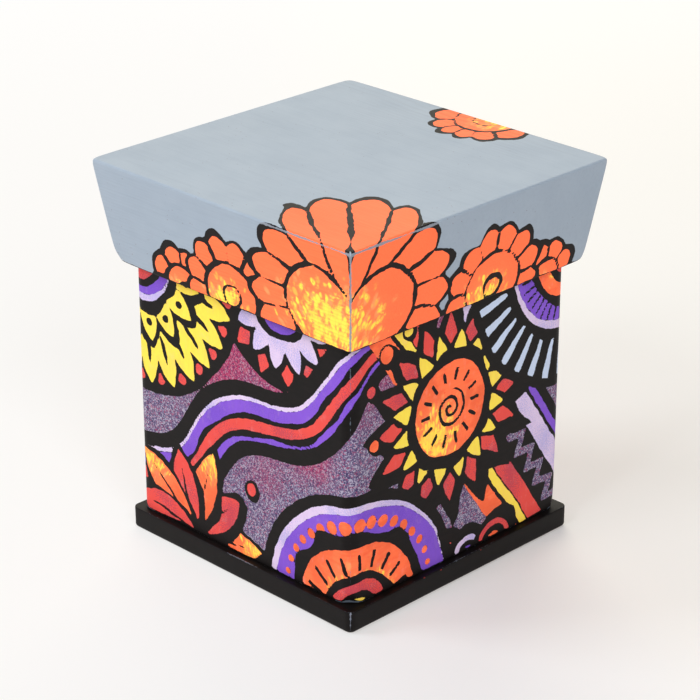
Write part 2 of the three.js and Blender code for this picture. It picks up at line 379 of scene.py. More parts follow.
def band(x, y, heading, width, end_width=None, swing=0, pitch=30, teeth=False):
    """A band along a heading: the distance across from its middle line less half its width.

    The middle line may swing as a sine or, with teeth, as a zigzag; the distance is then divided by the
    line's steepness. The width may change evenly along a hundred millimetres.
    """
    grow = 0 if end_width is None else (end_width - width) / 100

    def shape(a, b):
        along, across = turned(a, b, x, y, heading)
        turns = along / pitch
        if teeth:
            middle = swing * (4 * np.abs(turns % 1 - 0.5) - 1)
            steepness = 4 * swing / pitch
        else:
            middle = swing * np.sin(2 * np.pi * turns)
            steepness = 2 * np.pi * swing / pitch * np.cos(2 * np.pi * turns)
        return np.abs(across - middle) / np.hypot(1, steepness) - (width + grow * along) / 2

    return shape


def leaf_distance(along, across, reach, width):
    """A leaf is what two equal circles share that cross at its two tips: the greater of their distances."""
    radius = (reach**2 + width**2) / (4 * width)
    return np.hypot(along - reach / 2, np.abs(across) + radius - width / 2) - radius


def leaf(x, y, heading, reach, width):
    """A leaf from a point along a heading."""
    return lambda a, b: leaf_distance(*turned(a, b, x, y, heading), reach, width)


def folded(a, b, x, y, count, turn):
    """The distance from a centre, and the bearing counted from the nearest of some equally spaced ones."""
    shares = np.arctan2(b - y, a - x) * count / (2 * np.pi) + turn
    return np.hypot(a - x, b - y), ((shares + 0.5) % 1 - 0.5) * 2 * np.pi / count


def petals(x, y, inner, outer, width, count, turn=0.0):
    """Leaves that point out from a centre, each from an inner to an outer radius."""

    def shape(a, b):
        away, bearing = folded(a, b, x, y, count, turn)
        return leaf_distance(away * np.cos(bearing) - inner, away * np.sin(bearing), outer - inner, width)

    return shape


def beads(x, y, reach, radius, count, turn=0.0):
    """Equal discs round a centre."""

    def shape(a, b):
        away, bearing = folded(a, b, x, y, count, turn)
        return np.hypot(away * np.cos(bearing) - reach, away * np.sin(bearing)) - radius

    return shape


def spokes(x, y, inner, outer, width, count, turn=0.0):
    """Strokes out from a centre, between two radii."""

    def shape(a, b):
        away, bearing = folded(a, b, x, y, count, turn)
        return np.maximum.reduce([np.abs(away * np.sin(bearing)) - width / 2, inner - away, away - outer])

    return shape


def star(x, y, inner, outer, count, turn=0.0):
    """Pointed rays: the distance from the centre less a reach that falls from each ray's tip to its foot."""

    def shape(a, b):
        away, bearing = folded(a, b, x, y, count, turn)
        share = np.abs(bearing) * count / np.pi
        steepness = (outer - inner) * count / (np.pi * np.maximum(away, inner))
        return (away - outer + (outer - inner) * share) / np.hypot(1, steepness)

    return shape


def spiral(x, y, pitch, turns, width, start=0.0):
    """A coil whose radius grows by the pitch with each turn: the distance to its nearest turn."""

    def shape(a, b):
        away = np.hypot(a - x, b - y)
        shares = away / pitch - np.arctan2(b - y, a - x) / (2 * np.pi) + start
        return np.maximum(np.abs((shares + 0.5) % 1 - 0.5) * pitch - width / 2, away - pitch * turns)

    return shape


def both(*shapes):
    """What all the shapes share: the greatest distance."""
    return lambda a, b: np.maximum.reduce([shape(a, b) for shape in shapes])


def without(shape, *cuts):
    """A shape less others: the greatest of its distance and the others' turned about."""
    return lambda a, b: np.maximum.reduce([shape(a, b)] + [-cut(a, b) for cut in cuts])


def moved(shape, x, y):
    """The same shape further along."""
    return lambda a, b: shape(a - x, b - y)


class Painting:
    """Fields of distance for the paints on a surface, one for each colour, and one of yellow glow.

    A new area first turns black all that lies within its line, by raising every colour's field, and then
    lowers its own colour's field inside itself. Where no field is below nothing, the ink shows. The flow
    keeps, for each dab of glow, the bearing and the distance from where the glow starts.
    """

    far = 60.0  # every field's value, in millimetres, before anything is painted
    weight = 1.58  # how much heavier than written the lines are drawn
    kept = 4  # how far from an edge, in millimetres, a field is kept

    def __init__(self, colours, across, up, girth):
        here = np.stack([across, up], axis=1)
        self.across = across + uneven(here, (0.5, 26, 11), (0.2, 6, 12))
        self.up = up + uneven(here, (0.5, 26, 13), (0.2, 6, 14))
        self.hand = 1 + uneven(here, (0.42, 17, 15))
        self.girth = girth
        self.fields = {name: np.full(len(across), self.far) for name in colours}
        self.glow = np.zeros(len(across))
        self.flow = np.stack([across, up, 0 * up], axis=1)
        self.place(0)

    def place(self, middle, mirror=1):
        """Sets the middle of the panel that the next shapes are given from."""
        self.a = ((self.across - middle + self.girth / 2) % self.girth - self.girth / 2) * mirror

    def measure(self, shape):
        """A shape's distance at every point, round the whole girth."""
        return shape(self.a, self.up)

    def blacken(self, distance):
        """Turns black what lies inside a distance."""
        for name in self.fields:
            self.fields[name] = np.maximum(self.fields[name], -distance)

    def ink(self, shape, width=None):
        """Inks a shape, or only a line of a width along its edge."""
        inside = self.measure(shape)
        self.blacken(inside if width is None else np.abs(inside) - width * self.hand / 2)

    def area(self, name, shape, line=1.3, shade=None, glow=None):
        """Paints an area with a black line round it, thicker towards a shade, and a glow from a place."""
        inside = self.measure(shape)
        black = inside if shade is None else np.minimum(inside, self.measure(moved(shape, *shade)))
        self.blacken(black - line * self.weight * self.hand)
        self.fields[name] = np.minimum(self.fields[name], inside)
        if glow:
            self.light(inside, self.a - glow[0], self.up - glow[1], glow[2])

    def light(self, inside, aside, above, reach):
        """Lets a glow fade with the distance from a place, and keeps which way it flows.

        It flows away from a source that lies somewhat more than its reach below the place. The bearing from
        the source is stretched and the distance shortened, so that dabs come out long and narrow.
        """
        below, narrow, long = 1.1, 1.4, 0.42
        away = np.hypot(aside, above)
        self.glow = np.where(inside < 0, np.clip(1 - away / reach, 0, 1), self.glow)
        above = above + below * reach
        away = np.hypot(aside, above)
        around = np.arctan2(aside, above) * reach * narrow
        flow = np.stack([around, away * long, np.full(len(away), reach)], axis=1)
        self.flow = np.where(inside[:, None] < 0, flow, self.flow)

    def keep(self, thing):
        """Keeps the fields on a piece, for its finish to read."""
        for name, field in self.fields.items():
            set_field(thing, name, np.clip(field, -self.kept, self.kept))
        set_field(thing, "glow", self.glow)
        set_field(thing, "flow", self.flow)


# The painted walls: places and sizes are in millimetres, bearings in degrees

def paint_rising_fan(work, x, y):
    """Rings round a point on the lower edge: a red heart, glowing orange, purple dotted with orange."""
    work.ink(disc(x, y, 50))
    work.area("purple", disc(x, y, 45.5), line=0)
    work.area("lavender", without(disc(x, y, 45.5), disc(x + 1.1, y - 1.5, 44.3)), line=0)
    dots, reach, largest, smallest = 19, 37.4, 2.9, 1.2
    for number, bearing in enumerate(np.radians(4 + 9.6 * np.arange(dots))):
        size = largest - (largest - smallest) * abs(2 * number / (dots - 1) - 1)
        dot = disc(x + reach * math.cos(bearing), y + reach * math.sin(bearing), size)
        work.area("orange", dot, line=0)
    work.area("orange", disc(x, y, 29), line=3.4, glow=(x, y + 2, 30))
    work.ink(spokes(x, y, 18.5, 26, 1.6, 20))
    work.area("red", disc(x, y, 14), line=2.2)
    work.area("yellow", disc(x, y, 7), line=1.6)


def paint_hanging_fan(work, x, y):
    """Rings round a point on the upper edge: two rows of yellow petals, a purple ring and a red heart."""
    work.ink(disc(x, y, 57))
    work.area("red", beads(x, y, 50.5, 2.4, 26, 0.5), line=0)
    work.area("yellow", petals(x, y, 27, 53.5, 10.2, 26), line=1.1)
    work.ink(petals(x, y, 32, 45, 2.2, 26))
    work.area("yellow", petals(x, y, 15, 35, 9.2, 16, 0.5), line=1.8)
    work.ink(beads(x, y, 27.4, 1.7, 16, 0.5))
    work.area("purple", disc(x, y, 19), line=2.8)
    work.area("lavender", without(disc(x, y, 19), disc(x - 0.9, y + 1.7, 17.9)), line=0)
    work.area("red", disc(x, y, 10.5), line=2)


def paint_comb_fan(work, x, y):
    """Rings round a point on the upper edge: pale strokes that taper inwards, and a striped purple ring."""
    work.ink(disc(x, y, 55))
    work.area("ice", both(petals(x, y, 30, 74, 3.6, 34, 0.25), disc(x, y, 51)), line=0)
    work.area("lavender", disc(x, y, 31.5), line=2.4)
    work.area("purple", disc(x + 0.8, y + 1.6, 29.5), line=0)
    work.ink(spokes(x, y, 20, 28, 1.1, 44))
    work.area("orange", disc(x, y, 18), line=2.6, glow=(x, y, 22))
    work.area("red", disc(x, y, 9), line=1.8)


def paint_lotus(work, x, y, radius):
    """A black half-round with two rows of petals, lavender over red, round a purple heart."""
    work.ink(disc(x, y, radius + 3))
    work.area("red", petals(x, y, radius * 0.2, radius * 1.04, 9.5, 13), line=0)
    work.area("lavender", petals(x, y, radius * 0.2, radius * 0.86, 8, 13, 0.5), line=1.5)
    work.area("purple", disc(x, y, radius * 0.36), line=1.8)


def paint_ribbon(work, x, y, heading):
    """A waving ribbon of purple between thick black lines, with a pale upper edge and a red stripe."""
    ribbon = {"swing": 6, "pitch": 82}
    work.ink(band(x, y, heading, 30, 26, **ribbon))
    purple = band(x, y, heading, 18, 14, **ribbon)
    work.area("purple", purple, line=0)
    work.area("lavender", without(purple, moved(purple, 0.7, -1.5)), line=0)
    work.area("red", moved(band(x, y, heading, 4.6, 3.6, **ribbon), 0, -2.4), line=1.3)


def paint_leaves(work, x, y, first, spread, leaves, reach):
    """A spray of leaves from one point, orange and shorter red by turns, with midribs and a shade below."""
    for number in range(leaves):
        heading = first + spread * number
        long = reach * (1 - 0.14 * (number % 2))
        tip = (x + long * math.cos(math.radians(heading)), y + long * math.sin(math.radians(heading)))
        shape = leaf(x, y, heading, long, reach * 0.34)
        name, glow = ("orange", (*tip, reach * 0.62)) if number % 2 == 0 else ("red", None)
        work.area(name, shape, line=1.3, shade=(1.6, -2.1), glow=glow)
        work.ink(leaf(x, y, heading, long * 0.84, 1.2))


def paint_sun(work, x, y):
    """A glowing disc inside two rows of rays, yellow over red, with an inked ring of strokes."""
    work.area("red", star(x, y, 24, 39, 16), line=2.4, shade=(2.6, -3.2))
    work.area("yellow", star(x, y, 21, 31, 16, 0.5), line=1.3)
    work.area("orange", disc(x, y, 19), line=2.8, glow=(x - 9, y - 10, 27))
    work.ink(spokes(x, y, 10.5, 16, 1.5, 14))
    work.ink(spiral(x, y, 3.6, 2.2, 1.4))


def paint_slants(work, x, y, heading):
    """Straight bands side by side, a broad black one with zigzag teeth between coloured ones."""
    work.ink(band(x, y, heading, 52))
    bands = (
        ("orange", -22, 9), ("yellow", -14, 3.6), ("red", -8, 7), ("lavender", 13.5, 8), ("purple", 20.5, 3),
    )
    for name, offset, width in bands:
        work.area(name, moved(band(x, y, heading, width), *leftwards(offset, heading)), line=0)
    teeth = band(x, y, heading, 3, swing=3.4, pitch=10, teeth=True)
    work.area("speckle", moved(teeth, *leftwards(3.2, heading)), line=0)


def leftwards(offset, heading):
    """A step of a length to the left of a heading."""
    turn = math.radians(heading)
    return -offset * math.sin(turn), offset * math.cos(turn)


def paint_rounds(work, x, y, sizes):
    """Half-rounds in a row along an edge, each with an inner ring, red and lavender by turns."""
    for number, size in enumerate(sizes):
        place = x + sum(sizes[:number]) * 1.7 + size
        outer, inner = ("red", "orange") if number % 2 == 0 else ("lavender", "purple")
        work.area(outer, disc(place, y, size), line=2.2, shade=(1.4, 1.2))
        work.area(inner, disc(place, y, size * 0.42), line=1.7)


def paint_dots(work, dots):
    """Loose discs, each with a black shadow at one side."""
    for x, y, size, name in dots:
        work.area(name, disc(x, y, size), line=0.9, shade=(size * 0.42, -size * 0.42))


def paint_first_panel(work):
    """The panel with the ribbon, a lotus and a spray of leaves."""
    paint_lotus(work, 23, 110, 30)
    paint_dots(work, ((6, 30, 2.6, "red"), (-2, 22, 1.8, "orange")))
    paint_ribbon(work, -20, 40, 31)
    paint_leaves(work, -27, 1, 6, 33, 6, 39)


def paint_second_panel(work):
    """The panel with the sun, slanting bands and a row of half-rounds."""
    paint_slants(work, 30, 36, -55)
    paint_rounds(work, -20, -1, (10, 8, 9))
    paint_sun(work, -6, 64)
    dots = (
        (-40, 96, 3.2, "orange"), (-48, 84, 2.2, "red"), (-29, 102, 2.0, "yellow"), (-46, 62, 2.4, "orange"),
    )
    paint_dots(work, dots)


def paint_walls(along, up, girth, pitch):
    """The whole painting round the walls, from the distance along the plank and the height, in millimetres.

    Two designs take turns on the four walls, and a fan covers each corner, by turns below and above, where
    the two differ. A black line runs along the foot.
    """
    foot_line = 1.1
    work = Painting(("speckle", "yellow", "purple", "lavender", "red", "orange", "ice"), along, up, girth)
    work.fields["speckle"] -= 2 * work.far
    for wall, mirror in ((1, 1), (3, -1)):
        work.place(wall * pitch, mirror)
        paint_first_panel(work)
    for wall, mirror in ((2, 1), (0, -1)):
        work.place(wall * pitch, mirror)
        paint_second_panel(work)
    for corner in range(4):
        work.place((corner + 0.5) * pitch, 1 if corner % 2 else -1)
        if corner % 2:
            paint_rising_fan(work, 4, -5)
        elif corner:
            paint_comb_fan(work, -2, 109)
        else:
            paint_hanging_fan(work, -2, 109)
    work.blacken(up - foot_line * work.hand)
    return work


# The plank

BEND_POINTS, LIP_POINTS = 13, 6  # how many points the plank's arcs in plan have
END_SHARES = (0.25, 0.5, 0.75, 0.97)  # how far each ring on the lip's end is drawn in
RUBBED_FEET = {(1, -1): 3.75, (1, 1): 2.9}  # how deep the feet of some corners are rubbed, in millimetres


def plank_stations(sizes, half):
    """The plank's outer and inner edge in plan, station by station from one end to the other.

    Each wall is laid out by itself as (along, out): the kerf's diagonal face, the flat beside its channel,
    and two arcs about one centre, the channel's and the outside's. A quarter turn leads to the next wall.
    The first wall starts at the rabbet's shoulder, and the last ends in the lip.
    """
    inner = half - sizes.thickness
    centre = half - sizes.strip - sizes.channel
    slit = sizes.kerf / math.sqrt(2)
    foot = inner - slit
    near_bend = (foot + 3 * centre) / 4
    before_bend = [[foot, half, foot, inner], [near_bend, half, centre, centre + slit]]
    turn = np.linspace(0, np.pi / 2, BEND_POINTS)
    reach = half - centre
    bend = np.stack(
        [
            centre + reach * np.sin(turn),
            centre + reach * np.cos(turn),
            centre + sizes.channel * np.sin(turn),
            centre + sizes.channel * np.cos(turn),
        ],
        axis=1,
    )
    mirror = np.array([-1, 1, -1, 1])
    start_of_wall = np.array(before_bend[::-1]) * mirror
    shoulder = half - sizes.lip - sizes.seam
    lip = half - sizes.lip
    lip_start = inner - sizes.seam
    lip_bend = half - sizes.lip_corner
    round_end = np.linspace(0, np.pi / 2, LIP_POINTS)
    lip_rows = np.stack(
        [
            lip_bend + sizes.lip_corner * np.sin(round_end),
            lip_bend + sizes.lip_corner * np.cos(round_end),
            lip_bend + sizes.lip_corner * np.sin(round_end),
            lip + 0 * round_end,
        ],
        axis=1,
    )
    lip_step = 0.02 * MM
    outer, inside = [], []
    for wall in range(4):
        rows = [[[-shoulder, half, -shoulder, inner]] if wall == 0 else start_of_wall]
        if wall == 3:
            rows.append([[lip_start, half, lip_start, inner], [lip_start + lip_step, half, lip_start, lip]])
            rows.append(lip_rows)
        else:
            rows += [before_bend, bend]
        rows = divided(np.vstack(rows), sizes.step)
        turn_to_wall = np.exp(1j * np.pi / 2 * wall)
        for edge, (along, out) in ((outer, rows.T[:2]), (inside, rows.T[2:])):
            edge.append((-out - 1j * along) * turn_to_wall)
    outer, inside = np.concatenate(outer), np.concatenate(inside)
    along = np.append(0, np.cumsum(np.abs(np.diff(outer)))) - shoulder
    return outer, inside, along


def plank_section(sizes, low, high):
    """The plank's section once round it: insets, heights, and how many of its points are on the outer half.

    A point of the outer half is set in from the outside, and one of the inner half from the inside. The
    outer arrises are arcs, and the mouth's edge is a chamfer.
    """
    deep = 4 * sizes.arris
    run = [(-deep, low, 0, 0), (0, low, 0, sizes.arris), (0, high, 0, sizes.arris), (-deep, high, 0, 0)]
    outer = divided(eased(run)[1:-1], sizes.step)
    mouth = sizes.inner_arris
    inner = divided(np.array([[mouth, high], [0, high - mouth], [0, low], [mouth, low]]), 4 * sizes.step)
    return np.append(-outer[:, 0], inner[:, 0]), np.append(outer[:, 1], inner[:, 1]), len(outer)


def make_plank(settings):
    """The bent plank: its section is carried along its bent path, squeezed where the strips are thin.

    Over the lip's end the section is drawn in to its middle line, ring by ring. Two of the feet are rubbed.
    """
    sizes = settings.plank
    stations = plank_stations(sizes, wall_high.x)
    outer, inside, along = [np.append(line, np.repeat(line[-1], len(END_SHARES))) for line in stations]
    inset, height, outer_count = plank_section(sizes, wall_low.z, wall_high.z)
    gap = inside - outer
    thickness = np.abs(gap)[:, None]
    share = np.minimum(inset[None] / thickness, 0.5)
    share = np.where(np.arange(len(inset))[None] < outer_count, share, 1 - share)
    drawn_in = np.append(np.zeros(len(stations[0])), END_SHARES)[:, None]
    share = share + (0.5 - share) * drawn_in
    level = height + (height.mean() - height) * 0.01 * drawn_in
    plan = outer[:, None] + gap[:, None] * share
    points = np.stack([plan.real.ravel(), plan.imag.ravel(), level.ravel()], axis=1)
    points = rub_corners(points, RUBBED_FEET, wall_high.x, wall_low.z, slant=-0.6)
    plank = closed_tube("bent_plank", points.reshape(*plan.shape, 3))
    up = (level - wall_low.z).ravel()
    run = np.broadcast_to(along[:, None], plan.shape).ravel()
    depth = (share * thickness).ravel()
    set_field(plank, "place", np.stack([run, up, depth], axis=1))
    outside = np.clip(1 - depth / (2 * sizes.arris), -1, 1)
    outside[np.broadcast_to(np.arange(len(inset))[None] >= outer_count, plan.shape).ravel()] = -1
    lip_end = slice(-(len(END_SHARES) + 1) * len(inset), None)
    outside[lip_end] = 1
    set_field(plank, "outside", outside)
    run = run.copy()
    run[lip_end] += depth[lip_end]
    dress_plank(plank, run, up, settings)
    return plank


def painted_round(sizes):
    """How far apart the walls' middles lie along the plank's outside, and how long its way round is."""
    half = wall_high.x
    bend = sizes.strip + sizes.channel
    pitch = 2 * (half - bend) + bend * np.pi / 2
    return pitch, 3 * pitch + 2 * (half - sizes.lip_corner) + sizes.lip_corner * np.pi / 2


def dress_plank(thing, run, up, settings):
    """Gives a piece of the walls its part of the painting and the painted finish.

    The speckled ground is warmest high on every other wall: a share of the height plus a slow drift, less
    on the walls between, as a cosine round the girth.
    """
    pitch, girth = painted_round(settings.plank)
    work = paint_walls(run / MM, up / MM, girth / MM, pitch / MM)
    work.keep(thing)
    half_warm, warms_over = 52, 60
    high = (up / MM - half_warm) / warms_over + uneven(np.stack([run, up], axis=1) / MM, (0.4, 46, 61))
    from_bend = np.abs((run / pitch) % 1 - 0.5) * pitch / MM
    set_field(thing, "bend", np.clip(from_bend, 0, 20))
    set_field(thing, "warmth", np.clip(0.5 + high - 0.4 - 0.4 * np.cos(np.pi * run / pitch), 0, 1))
    thing.data.materials.append(painted_wall_finish(settings.paint))


# The lid

# How deep the lid's lower and upper corners are rubbed, in millimetres
RUBBED_HEM = {(-1, -1): 1.9, (1, -1): 0.6, (1, 1): 1.1, (-1, 1): 1.4}
RUBBED_CROWN = {(-1, -1): 1.0, (1, -1): 0.9, (1, 1): 0.9, (-1, 1): 1.1}


def lid_profile(sizes, wall_inside):
    """The lid's profile from the middle of the hollow's ceiling, round outside, to the top's middle."""
    seat = lid_low.z + sizes.plug_depth
    foot = wall_high.x + sizes.overhang
    plug = wall_inside - sizes.plug_clearance
    mouth = plug - sizes.plug_wall
    roof = lid_high.z - sizes.top
    corners = [
        (1 * MM, roof, 1 * MM, 0),
        (mouth - sizes.draft, roof, sizes.hollow_corner, sizes.hollow_cove),
        (mouth, lid_low.z, sizes.hollow_corner, sizes.plug_arris),
        (plug, lid_low.z, sizes.plug_corner, sizes.plug_arris),
        (plug, seat, sizes.plug_corner, 0),
        (foot, seat, sizes.corner, sizes.arris),
        (foot + sizes.flare, lid_high.z, sizes.corner, sizes.arris),
        (1 * MM, lid_high.z, 1 * MM, 0),
    ]
    return corners, seat


def make_lid(settings):
    """The lid: a rounded square carried up the profile, with a carver's faint unevenness and rubbed corners.

    Outside, each point is pressed in towards the seat's middle by a slow drift, less near the edges. The
    edge field counts from the upper and upright edges, and dips where they meet.
    """
    sizes = settings.lid
    corners, seat = lid_profile(sizes, wall_high.x - settings.plank.thickness)
    profile = divided(eased(corners), sizes.step)
    rings, from_edge = square_rings(profile, side_steps=112, corner_steps=6)
    around = rings.shape[1]
    out, height, _ = profile.T
    run = run_along(profile)
    crown = run[np.argmax(out)]
    foot = wall_high.x + sizes.overhang
    hem = run[np.argmax((out > foot - sizes.arris / 2) & (height < seat + sizes.arris))]
    side = (run > hem) & (run < crown)
    level = np.abs(run - crown)[:, None]
    edge = np.where(side[:, None], np.minimum(level, from_edge), level + 0 * from_edge)
    dip, dip_reach = 0.45, 1.3 * MM
    edge = (edge / MM - dip * np.exp(-((level**2 + from_edge**2) / dip_reach**2))).ravel()
    points = rings.reshape(-1, 3)
    outer = np.repeat(height > seat + 0.2 * sizes.arris, around)
    pressed = uneven(points / MM, (0.07, 34, 21), (0.035, 9, 22)) - 0.12
    heading = (points - np.array([0, 0, seat])) * np.array([1, 1, 0.6])
    heading /= np.maximum(np.linalg.norm(heading, axis=1), 1e-9)[:, None]
    fade = np.clip((edge - 0.5) / 4, 0, 1) * outer
    points = points + heading * (pressed * fade * MM)[:, None]
    points = rub_corners(points, RUBBED_HEM, foot, seat, slant=-1)
    points = rub_corners(points, RUBBED_CROWN, foot + sizes.flare, lid_high.z, slant=1)
    lid = closed_tube("carved_lid", points.reshape(rings.shape))
    above_hem = np.repeat((run - hem) / MM, around)
    painted_below, hem_line = 0.75 * sizes.overhang / MM, 0.55
    set_field(lid, "outside", np.where(above_hem > -painted_below, 1.0, -1.0))
    set_field(lid, "edge", np.clip(edge, -1, 6))
    work = paint_lid(points / MM)
    work.blacken(above_hem - hem_line * work.hand)
    work.keep(lid)
    lid.data.materials.append(lid_finish(settings.paint))
    return lid


class LidPainting(Painting):
    """A painting whose shapes are in space, so that they run on over the lid's edges."""

    def __init__(self, points):
        super().__init__(("grey", "orange"), points[:, 0], points[:, 1], 1000)
        shifts = [uneven(points, (0.6, 22, 31 + axis), (0.25, 5, 41 + axis)) for axis in range(3)]
        self.points = points + np.stack(shifts, axis=1)
        self.hand = 1 + uneven(points, (0.5, 15, 51))
        self.flow = points * 1.0
        from_middle = np.abs(points[:, :2]).max(axis=1)
        self.inward = np.where(points[:, 2] > points[:, 2].max() - 1, from_middle.max() - from_middle, 0)

    def fan(self, centre, axis, up, radius, frills, spread=0):
        """A fan of orange with a frilled rim, two inner lines, ribs from the rim, and a glow at its heart.

        Seen along its axis, the rim's reach is the radius less a share that grows to each frill's end, as
        one less the size of the sine of the bearing times half the number of frills. On the lid's top the
        fan opens with the distance inwards from the top's edge.
        """
        outline, rib, heart_line = 2.2, 0.7, 0.5
        frilled, ring, heart = 0.13, 0.6 * radius, 0.27 * radius
        offset = self.points - np.array(centre, float)
        axis, up = np.array(axis, float), np.array(up, float)
        aside = offset @ np.cross(up, axis) / np.linalg.norm(axis)
        above = offset @ up
        away = np.linalg.norm(offset, axis=1)
        bearing = np.arctan2(aside, above + spread * self.inward)
        wave = np.abs(np.sin(frills * bearing / 2))
        inside = away - radius * (1 - frilled * (1 - wave))
        self.blacken(inside - outline * self.hand)
        self.fields["orange"] = np.minimum(self.fields["orange"], inside)
        ribs = wave * away * 2 / frills - rib * self.hand
        self.blacken(np.maximum.reduce([ribs, ring - away, inside]))
        self.blacken(np.abs(away - ring) - rib * self.hand)
        self.blacken(np.abs(away - heart) - heart_line * self.hand)
        self.light(inside, aside + 0.16 * radius, above + 0.18 * radius, 0.84 * radius)


def paint_lid(points):
    """The lid's painting: rows of frilled fans that grow towards the front corner, a smaller row behind.

    The fans stand on the lower edge, and the corner ones run on over the top. One more lies on the top's
    back edge. Each has its centre, the way it faces, the way up, its radius, its number of frills and, for
    the front corner's, its spread.
    """
    work = LidPainting(points)
    work.fields["grey"] -= 2 * work.far
    rise = (0, 0, 1)
    front, right, back, left = (0, -1, 0), (1, 0, 0), (0, 1, 0), (-1, 0, 0)
    fans = (
        ((-24, -67, 113), front, rise, 17, 9), ((67, 40, 112), right, rise, 16, 9),
        ((3, -68, 118), front, rise, 24, 13), ((68, 10, 118), right, rise, 25, 13),
        ((50, -50, 129), (1, -1, 0), rise, 38, 17, 0.7),
        ((48, 66, 112), back, rise, 15, 9), ((22, 67, 114), back, rise, 19, 11),
        ((-66, -44, 112), left, rise, 14, 9), ((-67, -14, 115), left, rise, 20, 11),
        ((-51, 51, 120), (-1, 1, 0), rise, 31, 15),
        ((8, 68, 154), (0, 1, 1), (0, -0.707, 0.707), 22, 12),
    )
    for fan in fans:
        work.fan(*fan)
    return work


# The base board

def make_base(settings):
    """The base board: a rounded square carried up a profile with a ledge and a raised panel.

    The points are pressed in by up to a tenth of a millimetre, as a slow drift, away from the seats.
    """
    sizes = settings.base
    half = base_high.x
    panel = wall_high.x - settings.plank.thickness - sizes.clearance
    low, ledge, high = base_low.z + sizes.relief, wall_low.z, base_high.z
    profile = eased([
        (1 * MM, low, 1 * MM, 0),
        (half, low, sizes.corner, sizes.foot),
        (half, ledge, sizes.corner, sizes.arris),
        (panel, ledge, sizes.panel_corner, 0),
        (panel, high, sizes.panel_corner, sizes.panel_arris),
        (1 * MM, high, 1 * MM, 0),
    ])
    profile = divided(profile, sizes.step)
    rings, from_edge = square_rings(profile, side_steps=84, corner_steps=8)
    around = rings.shape[1]
    out, height, _ = profile.T
    run = run_along(profile)
    side = (out > half - 0.3 * sizes.arris) & (height > low + sizes.foot)
    rim = run[side][-1] + sizes.arris / 2
    level = np.abs(run - rim)[:, None]
    far = 9 * MM
    upright = np.where((run < rim)[:, None] & (height > low + sizes.foot / 2)[:, None], from_edge, far)
    edge = np.minimum(level, upright)
    points = rings.reshape(-1, 3)
    outer = np.repeat((run < rim) & (height > low + 0.1 * MM), around)
    pressed = uneven(points / MM, (0.06, 30, 71), (0.03, 8, 72)) - 0.1
    points = points + points * np.array([1, 1, 0]) / half * (pressed * outer * MM)[:, None]
    board = closed_tube("base_plank", points.reshape(rings.shape))
    set_field(board, "edge", np.clip(edge.ravel() / MM, 0, 6))
    set_field(board, "upright", np.clip(upright.ravel() / MM, 0, 6))
    inside = np.repeat(run - run[np.argmax(height > ledge + 1 * MM)], around)
    set_field(board, "inside", np.clip(inside / MM, -4, 4))
    board.data.materials.append(black_base_finish(settings.paint))
    return board


# The pegs

def peg_heads(settings):
    """The corner pegs' painted heads: a lathe profile with a slightly domed end, about each peg's place.

    A head is a little out of round: its radius swells three times round, by a few hundredths.
    """
    sizes = settings.pegs
    turn = np.linspace(0, 2 * np.pi, 24, endpoint=False)
    bow = np.linspace(0.02, 1, 7)
    radius = sizes.radius * np.append(bow, [1, 0.97])
    out = np.append(sizes.proud * np.sqrt(1 - 0.9 * bow**2), [-0.4 * sizes.proud, -sizes.depth])
    from_end = 1.02 * sizes.radius
    pegs = []
    for number, node in enumerate(corner_pegs):
        low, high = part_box(node)
        middle = (low.x + high.x) / 2
        rising = number % 2 == 0
        lift = high.z - from_end if rising else low.z + from_end
        slope = math.tan(sizes.lean) * (1 if rising else -1)
        swell = 1 + 0.03 * np.sin(3 * turn + number)
        x = middle + radius[:, None] * np.cos(turn) * swell
        z = lift + radius[:, None] * np.sin(turn) * swell + np.minimum(out, 0)[:, None] * slope
        y = np.broadcast_to((wall_high.y + out)[:, None], x.shape)
        rings = np.dstack([x, y, z])
        pegs.append((closed_tube(f"painted_{node}", rings), node, rings.reshape(-1, 3)))
    return pegs


# Finishes

BLACK = (0.0, 0.0, 0.0)
WHITE = (1, 1, 1)
EDGE_SOFTNESS = 0.07  # over how many millimetres a painted edge fades
BARE_ROUGHNESS = 0.72  # of cedar without paint
# The paints' glow is painted light: orange, yellow and some red give light of their own, so that they hardly
# darken in shade.
PAINTED_GLOW_STRENGTH = 0.47  # how much light of its own the orange day-glow paint gives
PAINTED_GLOW_TINT = (1, 0.25, 0.25)  # nearly all of that light is red
PAINTED_GLOW_SHARES = {"yellow": 0.6, "red": 0.2, "orange": 1.0}  # how much of it each paint gives

# The tones that each paint takes where it lies thin, thick or dusty
THIN_INK = linear(37, 28, 26)
LID_INK = linear(54, 44, 40)
THICK_ORANGE = linear(228, 94, 46)
WARM_ORANGE = linear(255, 168, 92)
PALE_ORANGE = linear(255, 166, 98)
DULL_ORANGE = linear(196, 92, 52)
PALE_STREAK = linear(255, 226, 214)
WALL_STREAK_TINT = (0.66, 0.6, 0.66)
LID_GROOVE_TINT = (0.62, 0.5, 0.46)
# A pale blue-grey for the walls' foot and bends: partly rubbed paint, partly a painted highlight where those
# edges catch the light.
WALL_RUB_AND_HIGHLIGHT = linear(140, 152, 162)
RUBBED_LID = linear(166, 168, 172)
DARK_GREY = linear(170, 180, 188)
BRUSHED_GREY = linear(150, 160, 170)
LID_SPECK = linear(128, 92, 98)
THIN_BASE = linear(36, 29, 26)
DUSTED_PAINTS = (  # a paint, how much of its dusty tone shows, and that tone
    ("yellow", 0.3, linear(250, 224, 110)),
    ("purple", 0.45, linear(122, 80, 204)),
    ("lavender", 0.75, linear(206, 192, 240)),
    ("red", 0.55, linear(178, 70, 96)),
)

SEEING_RAYS = ("Camera", "Glossy", "Transmission")  # the rays that meet the paper as it is seen

# Where the growth rings' middle lies from each piece's origin, in metres
HEART_OF_PLANK = (0, -0.06, 0.045)
HEART_OF_LID = (0, -0.085, -0.06)
HEART_OF_BASE = (0, 0.03, 0.05)


